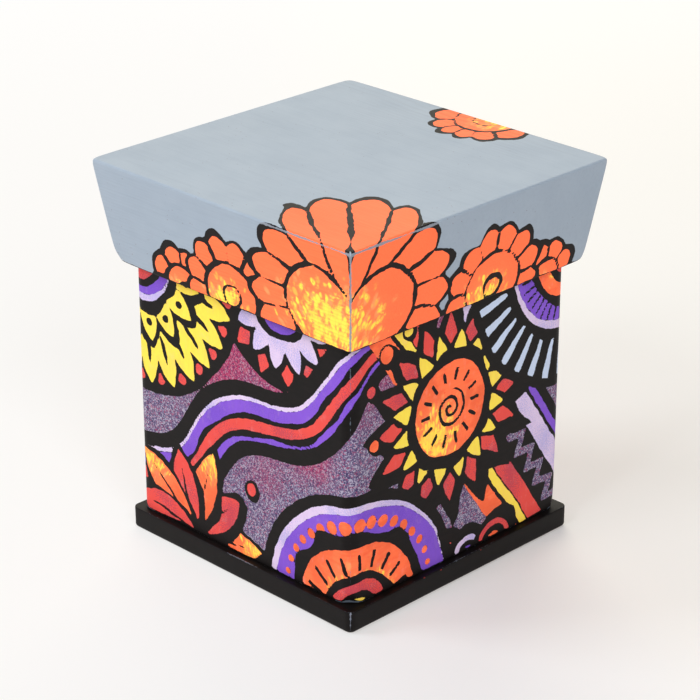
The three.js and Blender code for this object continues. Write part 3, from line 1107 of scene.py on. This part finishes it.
class Socket:
    """A shader socket that takes part in sums: each sign adds a Math node."""

    def __init__(self, finish, source):
        self.finish = finish
        self.source = source

    def joined(self, operation, *values):
        return self.finish.node("ShaderNodeMath", {"operation": operation}, dict(enumerate(values)))

    def __add__(self, other):
        return self.joined("ADD", self, other)

    __radd__ = __add__

    def __sub__(self, other):
        return self.joined("SUBTRACT", self, other)

    def __rsub__(self, other):
        return self.joined("SUBTRACT", other, self)

    def __mul__(self, other):
        return self.joined("MULTIPLY", self, other)

    __rmul__ = __mul__

    def __truediv__(self, other):
        return self.joined("DIVIDE", self, other)

    def power(self, exponent):
        return self.joined("POWER", self, exponent)

    def most(self, other):
        return self.joined("MAXIMUM", self, other)

    def size(self):
        return self.joined("ABSOLUTE", self)

    def fraction(self):
        return self.joined("FRACT", self)

    def step(self, low, high):
        """0 at the low value, 1 at the high one, and smooth between."""
        settings = {"interpolation_type": "SMOOTHSTEP", "clamp": True}
        inputs = {"Value": self, "From Min": low, "From Max": high}
        return self.finish.node("ShaderNodeMapRange", settings, inputs)


class Finish:
    """A material with a Principled shader, and the ways to add nodes to it."""

    def __init__(self, name):
        self.material = bpy.data.materials.new(name)
        self.material.use_nodes = True
        self.tree = self.material.node_tree
        self.shader = self.tree.nodes["Principled BSDF"]

    def node(self, kind, settings, inputs, output=0):
        """Adds a node, sets what it is, then its sockets, and gives back one output."""
        made = self.tree.nodes.new(kind)
        for key, value in settings.items():
            setattr(made, key, value)
        for key, value in inputs.items():
            self.put(self.socket(made.inputs, key), value)
        return Socket(self, self.socket(made.outputs, output))

    @staticmethod
    def socket(sockets, key):
        """A socket by its number, its own name or its name on the node."""
        if isinstance(key, int):
            return sockets[key]
        named = [socket for socket in sockets if socket.identifier == key]
        return named[0] if named else sockets[key]

    def put(self, socket, value):
        """Links a socket or sets its value."""
        if isinstance(value, Socket):
            self.tree.links.new(value.source, socket)
        elif socket.type == "RGBA":
            socket.default_value = (*tuple(value)[:3], 1)
        else:
            socket.default_value = value

    def set(self, **inputs):
        """Sets or links the shader's own sockets, written with underscores."""
        for key, value in inputs.items():
            self.put(self.shader.inputs[key.replace("_", " ")], value)

    def kept(self, name, output):
        """What the piece keeps under a name for each of its points."""
        return self.node("ShaderNodeAttribute", {"attribute_name": name}, {}, output)

    def field(self, name):
        """A number that the piece keeps for each of its points."""
        return self.kept(name, "Fac")

    def mapped(self, where, scale=(1, 1, 1), shift=(0, 0, 0)):
        """A vector stretched along each axis and then moved."""
        return self.node("ShaderNodeMapping", {}, {"Vector": where, "Scale": scale, "Location": shift})

    def part(self, source, kind, name):
        """One part of a colour or a vector."""
        key = "Color" if kind == "Color" else "Vector"
        return self.node(f"ShaderNodeSeparate{kind}", {}, {key: source}, name)

    def place(self, name=None, scale=(1, 1, 1)):
        """Object coordinates, or a vector that the piece keeps, stretched along each axis."""
        where = self.kept(name, "Vector") if name else self.node("ShaderNodeTexCoord", {}, {}, "Object")
        return self.mapped(where, scale)

    def noise(self, where, scale, detail=2.0, roughness=0.5):
        """Noise from 0 to 1."""
        inputs = {"Vector": where, "Scale": scale, "Detail": detail, "Roughness": roughness}
        return self.node("ShaderNodeTexNoise", {}, inputs)

    def sway(self, where, scale, amount, detail=2.0, roughness=0.5):
        """Noise on both sides of nothing, from half an amount below to half above."""
        return (self.noise(where, scale, detail, roughness) - 0.5) * amount

    def cells(self, where, scale, output="Color"):
        """Cells of random colour, or the distance to their middles."""
        return self.node("ShaderNodeTexVoronoi", {}, {"Vector": where, "Scale": scale}, output)

    def mix(self, factor, first, second, blend="MIX"):
        """One colour over another."""
        settings = {"data_type": "RGBA", "blend_type": blend}
        inputs = {"Factor_Float": factor, "A_Color": first, "B_Color": second}
        return self.node("ShaderNodeMix", settings, inputs, "Result_Color")

    def tinted(self, look, tint):
        """One colour times another."""
        return self.mix(1.0, look, tint, "MULTIPLY")

    def bump(self, height, distance, strength):
        """A normal from a height."""
        inputs = {"Height": height, "Distance": distance, "Strength": strength}
        return self.node("ShaderNodeBump", {}, inputs)

    def give_painted_glow(self, bright, look):
        """A painted glow: lets a look give light of its own, mostly red, where it is bright, so that it
        hardly darkens in shade.
        """
        given = self.tinted(look, PAINTED_GLOW_TINT)
        self.set(Emission_Color=self.mix(bright, BLACK, given), Emission_Strength=PAINTED_GLOW_STRENGTH)


class Sky(Finish):
    """A world with a Background shader, and the same ways to add nodes to it."""

    def __init__(self, name):
        self.world = bpy.data.worlds.new(name)
        self.world.use_nodes = True
        self.tree = self.world.node_tree
        self.shader = self.tree.nodes["Background"]


def grain_rings(finish, where, pitch):
    """Growth rings: the distance from an axis along the grain, a little uneven, as a saw from 0 to 1."""
    waver = finish.noise(where, 14, 3) * (3.5 * MM)
    across = finish.node("ShaderNodeVectorMath", {"operation": "MULTIPLY"}, {0: where, 1: (0, 1, 1)})
    away = finish.node("ShaderNodeVectorMath", {"operation": "LENGTH"}, {0: across}, "Value")
    return ((away + waver) / pitch).fraction()


def cedar(finish, where, paint):
    """Bare cedar: rings of early and late wood, fine fibres and slow streaks of tone; colour and height."""
    rings = grain_rings(finish, where, 1.7 * MM)
    fibres = finish.noise(finish.mapped(where, (0.04, 1, 1)), 1500, 4, 0.65)
    tone = finish.noise(finish.mapped(where, (0.12, 1, 1)), 75, 3, 0.6)
    late_wood = rings.power(4)
    late = (late_wood * 0.75 + (fibres - 0.5) * 0.9).step(0.05, 0.8)
    brown = finish.mix(0.45, paint.cedar, paint.cedar_dark)
    shade = finish.mix(tone.step(0.32, 0.7) * 0.6, paint.cedar, brown)
    return finish.mix(late * 0.8, shade, paint.cedar_dark), fibres * 0.6 + late_wood * 0.4


def flecked_orange(finish, where, glow, paint):
    """Orange with soft dabs of pale orange, amber and yellow that point away from where the glow starts.

    A dab is the middle of a cell, and shows where the glow's heat is past a start that differs from cell to
    cell. Each paint's dabs have their own size of cell, share of the heat, start and shade.
    """
    dabs = (
        (0.5, 1.5, 0.24, PALE_ORANGE),
        (0.62, 1.6, 0.42, paint.amber),
        (0.66, 2.3, 0.85, paint.yellow),
    )
    flow = finish.kept("flow", "Vector")
    soft = finish.noise(where, 210, 3, 0.6)
    heat = glow + (soft - 0.5) * 0.7
    strokes = finish.noise(finish.mapped(where, (0.05, 1, 1)), 1500, 3)
    look = finish.mix(strokes.step(0.3, 0.75) * 0.24, paint.orange, THICK_ORANGE)
    look = finish.mix((heat * 1.2 - 0.25).step(0, 0.9) * 0.55, look, WARM_ORANGE)
    for size, share, start, shade in dabs:
        chance = finish.part(finish.cells(flow, size), "Color", "Red")
        body = (0.62 - finish.cells(flow, size, "Distance") - (soft - 0.5) * 0.5).step(0, 0.3)
        look = finish.mix((heat * share - start - chance * 0.9).step(0, 0.22) * body, look, shade)
    merged = (glow * 1.5 + (soft - 0.5) * 2.4 + (strokes - 0.5) * 0.8 - 1.05).step(0, 0.35)
    return finish.mix(merged * 0.85, look, paint.yellow)


def speckled_ground(finish, where, paint):
    """Fine dark and pale dots over a ground that turns from cool to warm."""
    warmth = finish.field("warmth") + finish.sway(where, 90, 0.5)
    ground = finish.mix(warmth.step(0.1, 0.9), paint.heather, paint.rose)
    dots = finish.cells(where, 2300)
    red, green = [finish.part(dots, "Color", name) for name in ("Red", "Green")]
    ground = finish.mix((0.3 - red).step(0, 0.02) * 0.72, ground, paint.dusk)
    ground = finish.mix((red - 0.72).step(0, 0.02) * (0.75 - 0.4 * warmth), ground, paint.mist)
    return finish.mix((green - 0.86).step(0, 0.02) * 0.6, ground, paint.rose)


def edge_mask(finish, name, ragged):
    """1 inside a paint's areas and 0 outside, with a slightly ragged edge."""
    return (finish.field(name) + ragged).step(EDGE_SOFTNESS, -EDGE_SOFTNESS)


def wall_fills(finish, where, strokes, mottle, paint):
    """Each paint of the walls, some scumbled or dusted with a second tone, in the order that they go on."""
    glow = finish.field("glow")
    orange = flecked_orange(finish, where, glow, paint)
    scumble = (mottle + strokes * 0.5 + finish.noise(where, 34, 2) - 1.12).step(0, 0.22) * (1 - glow)
    dusting = (finish.noise(where, 1900, 2, 0.7) + finish.noise(where, 48, 2) - 0.98).step(0, 0.16)
    fills = {
        "speckle": speckled_ground(finish, where, paint),
        "orange": finish.mix(scumble * 0.5, orange, DULL_ORANGE),
    }
    for name, share, tone in DUSTED_PAINTS:
        fills[name] = finish.mix(dusting * share, getattr(paint, name), tone)
    fills["ice"] = paint.ice
    return fills


def wall_rub_and_highlight(finish, where):
    """Where the walls show a pale line: along the foot, more towards the corners, and at the bends' edges;
    partly rubbed paint, partly a painted highlight where these edges catch the light.
    """
    above_foot = finish.part(where, "XYZ", "Y")
    from_bend = finish.field("bend")
    near_corner = (from_bend - 11).step(0, -11) * 0.75 * MM
    reach = finish.noise(where, 420, 3, 0.7) * 1.9 * MM - 0.65 * MM
    foot = (reach + near_corner - above_foot).step(0, 0.2 * MM)
    bend = finish.noise(where, 620, 3, 0.7) * 1.5 + finish.noise(where, 80, 2) * 1.2 - 1.32
    return foot.most((bend - from_bend).step(0, 0.15) * 0.65)


def painted_wall_finish(paint):
    """The walls: each colour inside its field over black ink, hand-made edges, and bare cedar inside."""
    finish = Finish("painted_wall")
    where = finish.place("place")
    ragged = finish.sway(where, 1100, 0.42) + finish.sway(where, 380, 0.6)
    strokes = finish.noise(finish.place("place", (0.25, 1, 1)), 700, 3, 0.6)
    upright = finish.noise(finish.place("place", (1, 0.22, 1)), 620, 3, 0.6)
    mottle = finish.noise(where, 130, 4, 0.6)
    look = finish.mix((mottle * 0.5 + strokes * 0.5).step(0.35, 0.75) * 0.5, paint.ink, THIN_INK)
    masks = {}
    for name, fill in wall_fills(finish, where, strokes, mottle, paint).items():
        masks[name] = edge_mask(finish, name, ragged)
        look = finish.mix(masks[name], look, fill)
    filled = reduce(Socket.most, masks.values())
    streaks = (upright * 0.6 + mottle * 0.4).step(0.34, 0.68)
    look = finish.mix(filled * streaks * 0.22, look, finish.tinted(look, WALL_STREAK_TINT))
    pale = (upright * 0.5 + finish.noise(where, 240, 3) * 0.5).step(0.52, 0.75)
    look = finish.mix(filled * pale * 0.16, look, PALE_STREAK)
    # A pale line at the foot and the bends: partly rubbed paint, partly a painted highlight.
    rubbed = wall_rub_and_highlight(finish, where)
    look = finish.mix(rubbed * 0.7, look, WALL_RUB_AND_HIGHLIGHT)
    bare, fibre = cedar(finish, finish.mapped(where, shift=HEART_OF_PLANK), paint)
    outside = (finish.field("outside") + finish.sway(where, 500, 0.5)).step(-0.15, 0.05)
    finish.set(Base_Color=finish.mix(outside, bare, look))
    # A painted glow on the orange, yellow and red paints, so that they hardly darken in shade.
    glowing = reduce(Socket.most, [masks[name] * share for name, share in PAINTED_GLOW_SHARES.items()])
    finish.give_painted_glow(glowing * outside * (1 - rubbed), look)
    gloss = 0.5 + mottle * 0.14 - (1 - filled) * 0.04
    finish.set(Roughness=gloss * outside + (1 - outside) * BARE_ROUGHNESS)
    grain = finish.noise(finish.place("place", (0.02, 1, 1)), 1500, 2)
    height = grain * 0.35 + mottle * 0.25 + strokes * 0.2 - filled * 0.35 + fibre * (1 - outside)
    finish.set(Normal=finish.bump(height, 0.05 * MM, 0.55), Specular_IOR_Level=0.16)
    return finish.material


def lid_ground(finish, where, mottle, brushed, paint):
    """The lid's grey, mottled and faintly brushed, with a few rusty specks."""
    ground = finish.mix(mottle.step(0.3, 0.75) * 0.3, paint.grey, DARK_GREY)
    ground = finish.mix(brushed.step(0.42, 0.8) * 0.18, ground, BRUSHED_GREY)
    near_middle = (0.1 - finish.cells(where, 420, "Distance")).step(0, 0.04)
    specks = near_middle * finish.noise(where, 45, 1).step(0.48, 0.6)
    return finish.mix(specks * 0.7, ground, LID_SPECK)


def lid_finish(paint):
    """The lid: grey ground, orange areas with black lines, rubbed through at the edges; bare cedar below.

    The growth rings show through the paint as grooves, fine and here and there.
    """
    finish = Finish("painted_lid")
    where = finish.place()
    ragged = finish.sway(where, 900, 0.4) + finish.sway(where, 330, 0.6)
    orange, grey = [edge_mask(finish, name, ragged) for name in ("orange", "grey")]
    mottle = finish.noise(where, 60, 4, 0.6)
    brushed = finish.noise(finish.place(None, (0.06, 1, 1)), 900, 3, 0.6)
    heart = finish.mapped(where, shift=HEART_OF_LID)
    rings = grain_rings(finish, heart, 0.8 * MM)
    grooves = (1 - (rings - 0.5).size() * 2).power(3) * finish.noise(where, 26, 2).step(0.3, 0.7)
    ink = finish.mix(mottle * 0.4, paint.ink, LID_INK)
    look = finish.mix(orange, ink, flecked_orange(finish, where, finish.field("glow"), paint))
    look = finish.mix(grey, look, lid_ground(finish, where, mottle, brushed, paint))
    look = finish.mix(grooves * (0.12 + 0.48 * orange), look, finish.tinted(look, LID_GROOVE_TINT))
    rub = finish.sway(where, 900, 1.1, 3, 0.7) + finish.sway(where, 95, 1.0) + 0.46
    worn = (rub - finish.field("edge")).step(0, 0.2) * (1 - grey)
    look = finish.mix(worn * 0.9, look, RUBBED_LID)
    shell = finish.field("outside").step(-0.1, 0.1)
    bare, fibre = cedar(finish, heart, paint)
    finish.set(Base_Color=finish.mix(shell, bare, look))
    # A painted glow on the orange, so that it hardly darkens in shade.
    finish.give_painted_glow(shell * orange * (1 - worn), look)
    finish.set(Roughness=(0.52 + mottle * 0.14) * shell + (1 - shell) * BARE_ROUGHNESS)
    height = grooves * 0.5 + brushed * 0.3 + mottle * 0.2 + (1 - grey) * 0.2 + fibre * (1 - shell)
    finish.set(Normal=finish.bump(height, 0.06 * MM, 0.6), Specular_IOR_Level=0.18)
    return finish.material


def black_base_finish(paint):
    """The base board: satin black, faintly brushed, with rubbed edges and red smudges; cedar inside."""
    finish = Finish("black_base")
    where = finish.place()
    mottle = finish.noise(where, 90, 4, 0.6)
    brushed = finish.noise(finish.place(None, (0.1, 0.1, 1)), 1400, 3)
    dark = finish.mix(mottle.step(0.4, 0.8) * 0.4, paint.base, THIN_BASE)
    broken = finish.sway(where, 900, 1.3, 3, 0.7)
    slow = finish.sway(where, 55, 1.9)
    edge = finish.field("edge")
    height = finish.part(where, "XYZ", "Z") / wall_low.z
    upright = (0.1 + height * 0.22 + broken + 0.3 * slow - finish.field("upright")).step(0, 0.3)
    level = (broken + slow - 0.1 - edge).step(0, 0.25)
    look = finish.mix(upright * (0.35 + height * 0.5), dark, paint.worn)
    look = finish.mix(level * 0.45, look, paint.worn)
    drops = finish.noise(finish.place(None, (0.4, 0.4, 0.4)), 620, 1).step(0.66, 0.69)
    smudges = drops * finish.noise(where, 30, 1).step(0.5, 0.56) * (0.9 - edge).step(0, 0.3)
    look = finish.mix(smudges * 0.85, look, paint.red)
    inside = finish.field("inside").step(-0.2, 0.2)
    bare, fibre = cedar(finish, finish.mapped(where, shift=HEART_OF_BASE), paint)
    finish.set(Base_Color=finish.mix(inside, look, bare), Specular_IOR_Level=0.17)
    finish.set(Roughness=(0.42 + mottle * 0.2) * (1 - inside) + inside * 0.7)
    relief = brushed * 0.4 + mottle * 0.4 + fibre * inside
    finish.set(Normal=finish.bump(relief, 0.05 * MM, 0.5))
    return finish.material


def peg_finish(paint):
    """Bare cedar pegs, with the black paint of the base smeared over their ends."""
    finish = Finish("cedar_peg")
    where = finish.place()
    bare, fibre = cedar(finish, finish.mapped(where, (1, 1, 0.05)), paint)
    smear = finish.noise(where, 600, 3).step(0.35, 0.6)
    finish.set(Base_Color=finish.mix(smear * 0.8, bare, paint.base), Roughness=0.6)
    finish.set(Normal=finish.bump(fibre, 0.05 * MM, 0.6))
    return finish.material


def floor_finish(settings):
    """White paper with the box's shadows, painted fainter at the left by more light of its own there, that
    turns pure white at a distance.
    """
    fade_starts, fade_ends, side = 0.3, 1.25, 0.12
    finish = Finish("paper")
    rays = [finish.node("ShaderNodeLightPath", {}, {}, f"Is {kind} Ray") for kind in SEEING_RAYS]
    seen = reduce(Socket.most, rays)
    where = finish.place()
    away = finish.node("ShaderNodeVectorMath", {"operation": "LENGTH"}, {0: where}, "Value")
    distant = away.step(fade_starts, fade_ends)
    # Painted light: towards the left the paper takes its left settings, which make the box's shadow there
    # fainter.
    right = (finish.part(where, "XYZ", "X") + finish.part(where, "XYZ", "Y")).step(-side, side)
    paper = finish.mix(distant, finish.mix(right, settings.painted_light_left_paper, settings.paper), BLACK)
    shine = finish.mix(distant, finish.mix(right, settings.painted_light_left_shine, settings.shine), WHITE)
    finish.set(Base_Color=finish.mix(seen, settings.floor, paper), Roughness=0.9, Specular_IOR_Level=0.1)
    finish.set(Emission_Color=finish.mix(seen, BLACK, shine), Emission_Strength=1.0)
    return finish.material


# Operators

class BoxOperator:
    """What every maker here shares."""

    bl_options = {"REGISTER", "UNDO"}

    def settings(self, context):
        return context.scene.bentwood_box


class BENTWOOD_OT_plank(BoxOperator, bpy.types.Operator):
    """Make the bent and painted plank that forms the four walls"""

    bl_idname = "bentwood.plank"
    bl_label = "Bent Plank"

    def execute(self, context):
        plank = make_plank(self.settings(context))
        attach(plank, "box")
        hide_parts("side_board")
        return {"FINISHED"}


class BENTWOOD_OT_lid(BoxOperator, bpy.types.Operator):
    """Make the flared lid, carved from one block"""

    bl_idname = "bentwood.lid"
    bl_label = "Carved Lid"

    def execute(self, context):
        lid = make_lid(self.settings(context))
        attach(lid, "lid")
        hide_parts("lid")
        return {"FINISHED"}


class BENTWOOD_OT_base(BoxOperator, bpy.types.Operator):
    """Make the base board with its ledge and raised panel, in rubbed black"""

    bl_idname = "bentwood.base"
    bl_label = "Base Board"

    def execute(self, context):
        board = make_base(self.settings(context))
        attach(board, "box")
        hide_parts("base_board")
        return {"FINISHED"}


class BENTWOOD_OT_pegs(BoxOperator, bpy.types.Operator):
    """Make the corner pegs' painted heads and finish the base pegs"""

    bl_idname = "bentwood.pegs"
    bl_label = "Pegs"

    def execute(self, context):
        settings = self.settings(context)
        finish = peg_finish(settings.paint)
        for node in base_pegs:
            dress_node(node, finish)
        pitch = painted_round(settings.plank)[0]
        for peg, node, points in peg_heads(settings):
            run = 3 * pitch - points[:, 0]
            up = points[:, 2] - wall_low.z
            depth = wall_high.y - points[:, 1]
            set_field(peg, "place", np.stack([run, up, depth], axis=1))
            set_field(peg, "outside", np.where(depth < 1 * MM, 1.0, -1.0))
            dress_plank(peg, run, up, settings)
            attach(peg, "box")
            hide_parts(node)
        return {"FINISHED"}


class BENTWOOD_OT_stage(BoxOperator, bpy.types.Operator):
    """Make the camera, the lamps and the paper under the box"""

    bl_idname = "bentwood.stage"
    bl_label = "Studio"

    def execute(self, context):
        studio = self.settings(context).studio
        make_camera(context, studio)
        make_lamps(context, studio)
        make_floor(context, studio)
        context.scene.view_settings.view_transform = "Standard"
        return {"FINISHED"}


def dress_node(name, material):
    """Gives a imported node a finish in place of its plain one."""
    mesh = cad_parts[name].data
    mesh.materials.clear()
    mesh.materials.append(material)


def make_camera(context, studio):
    """The camera on its bearing, aimed a little to the side of the box's upright axis."""
    back = Vector((
        math.sin(studio.azimuth) * math.cos(studio.elevation),
        -math.cos(studio.azimuth) * math.cos(studio.elevation),
        math.sin(studio.elevation),
    ))
    right = Vector((math.cos(studio.azimuth), math.sin(studio.azimuth), 0))
    lens = bpy.data.cameras.new("camera")
    lens.lens = studio.lens
    lens.sensor_width = 36
    camera = bpy.data.objects.new("camera", lens)
    camera.location = Vector((0, 0, studio.target)) + right * studio.aside + back * studio.distance
    camera.rotation_mode = "QUATERNION"
    camera.rotation_quaternion = (-back).to_track_quat("-Z", "Y")
    lens.clip_start = 0.01
    context.scene.collection.objects.link(camera)
    context.scene.camera = camera


COOL, WARM = (0.935, 1, 1.12), (1.06, 1, 0.83)
LAMPS = (  # a lamp's name, place and size in metres, the setting that holds its power, and its shade
    ("left_lamp", (-1.15, -1.05, 1.15), 0.8, "key", COOL),
    ("front_lamp", (0.07, -1.42, 1.28), 0.6, "front", COOL),
    ("right_lamp", (1.32, -0.62, 1.22), 0.55, "side", COOL),
    ("back_lamp", (-0.95, 0.95, 1.1), 1.1, "back", WARM),
)
LIT_PLACE = (0, 0, 0.08)  # the middle of the box, which every lamp faces


def make_lamp(context, name, place, size, power, shade):
    """A square lamp that faces the middle of the box."""
    data = bpy.data.lights.new(name, "AREA")
    data.size = size
    data.energy = power
    data.color = shade
    lamp = bpy.data.objects.new(name, data)
    lamp.location = place
    aim = Vector(LIT_PLACE) - Vector(place)
    lamp.rotation_mode = "QUATERNION"
    lamp.rotation_quaternion = aim.to_track_quat("-Z", "Y")
    context.scene.collection.objects.link(lamp)


def make_lamps(context, studio):
    """Soft lamps at the left, in front, at the right and behind, and even light all round.

    The camera itself sees the world as pure white.
    """
    for name, place, size, power, shade in LAMPS:
        make_lamp(context, name, place, size, getattr(studio, power), shade)
    sky = Sky("studio")
    seen = sky.node("ShaderNodeLightPath", {}, {}, "Is Camera Ray")
    sky.set(Color=sky.mix(seen, COOL, WHITE), Strength=studio.fill + seen * (1 - studio.fill))
    context.scene.world = sky.world


def make_floor(context, studio):
    """A square of paper, wide enough to fill every view, with its middle under the box."""
    half = 6.0
    corners = np.array([[-1, -1, 0], [1, -1, 0], [1, 1, 0], [-1, 1, 0]]) * half
    mesh = bpy.data.meshes.new("floor")
    mesh.from_pydata(corners.tolist(), [], [(0, 1, 2, 3)])
    floor = bpy.data.objects.new("floor", mesh)
    context.scene.collection.objects.link(floor)
    mesh.materials.append(floor_finish(studio))


class BENTWOOD_PT_panel(bpy.types.Panel):
    """Lists the makers in the order that they run"""

    bl_label = "Bentwood Box"
    bl_idname = "BENTWOOD_PT_panel"
    bl_space_type = "VIEW_3D"
    bl_region_type = "UI"
    bl_category = "Bentwood Box"

    def draw(self, context):
        for maker in makers:
            self.layout.operator(maker.bl_idname)


makers = (BENTWOOD_OT_stage, BENTWOOD_OT_plank, BENTWOOD_OT_lid, BENTWOOD_OT_base, BENTWOOD_OT_pegs)
groups = (PlankSizes, LidSizes, BaseSizes, PegSizes, PaintColours, StudioSettings, BoxSettings)
classes = (*groups, *makers, BENTWOOD_PT_panel)


def register():
    for made in classes:
        bpy.utils.register_class(made)
    bpy.types.Scene.bentwood_box = PointerProperty(type=BoxSettings)


def unregister():
    del bpy.types.Scene.bentwood_box
    for made in reversed(classes):
        bpy.utils.unregister_class(made)


def main():
    register()
    bpy.ops.bentwood.stage()
    bpy.ops.bentwood.plank()
    bpy.ops.bentwood.lid()
    bpy.ops.bentwood.base()
    bpy.ops.bentwood.pegs()


if __name__ == "__main__":
    main()
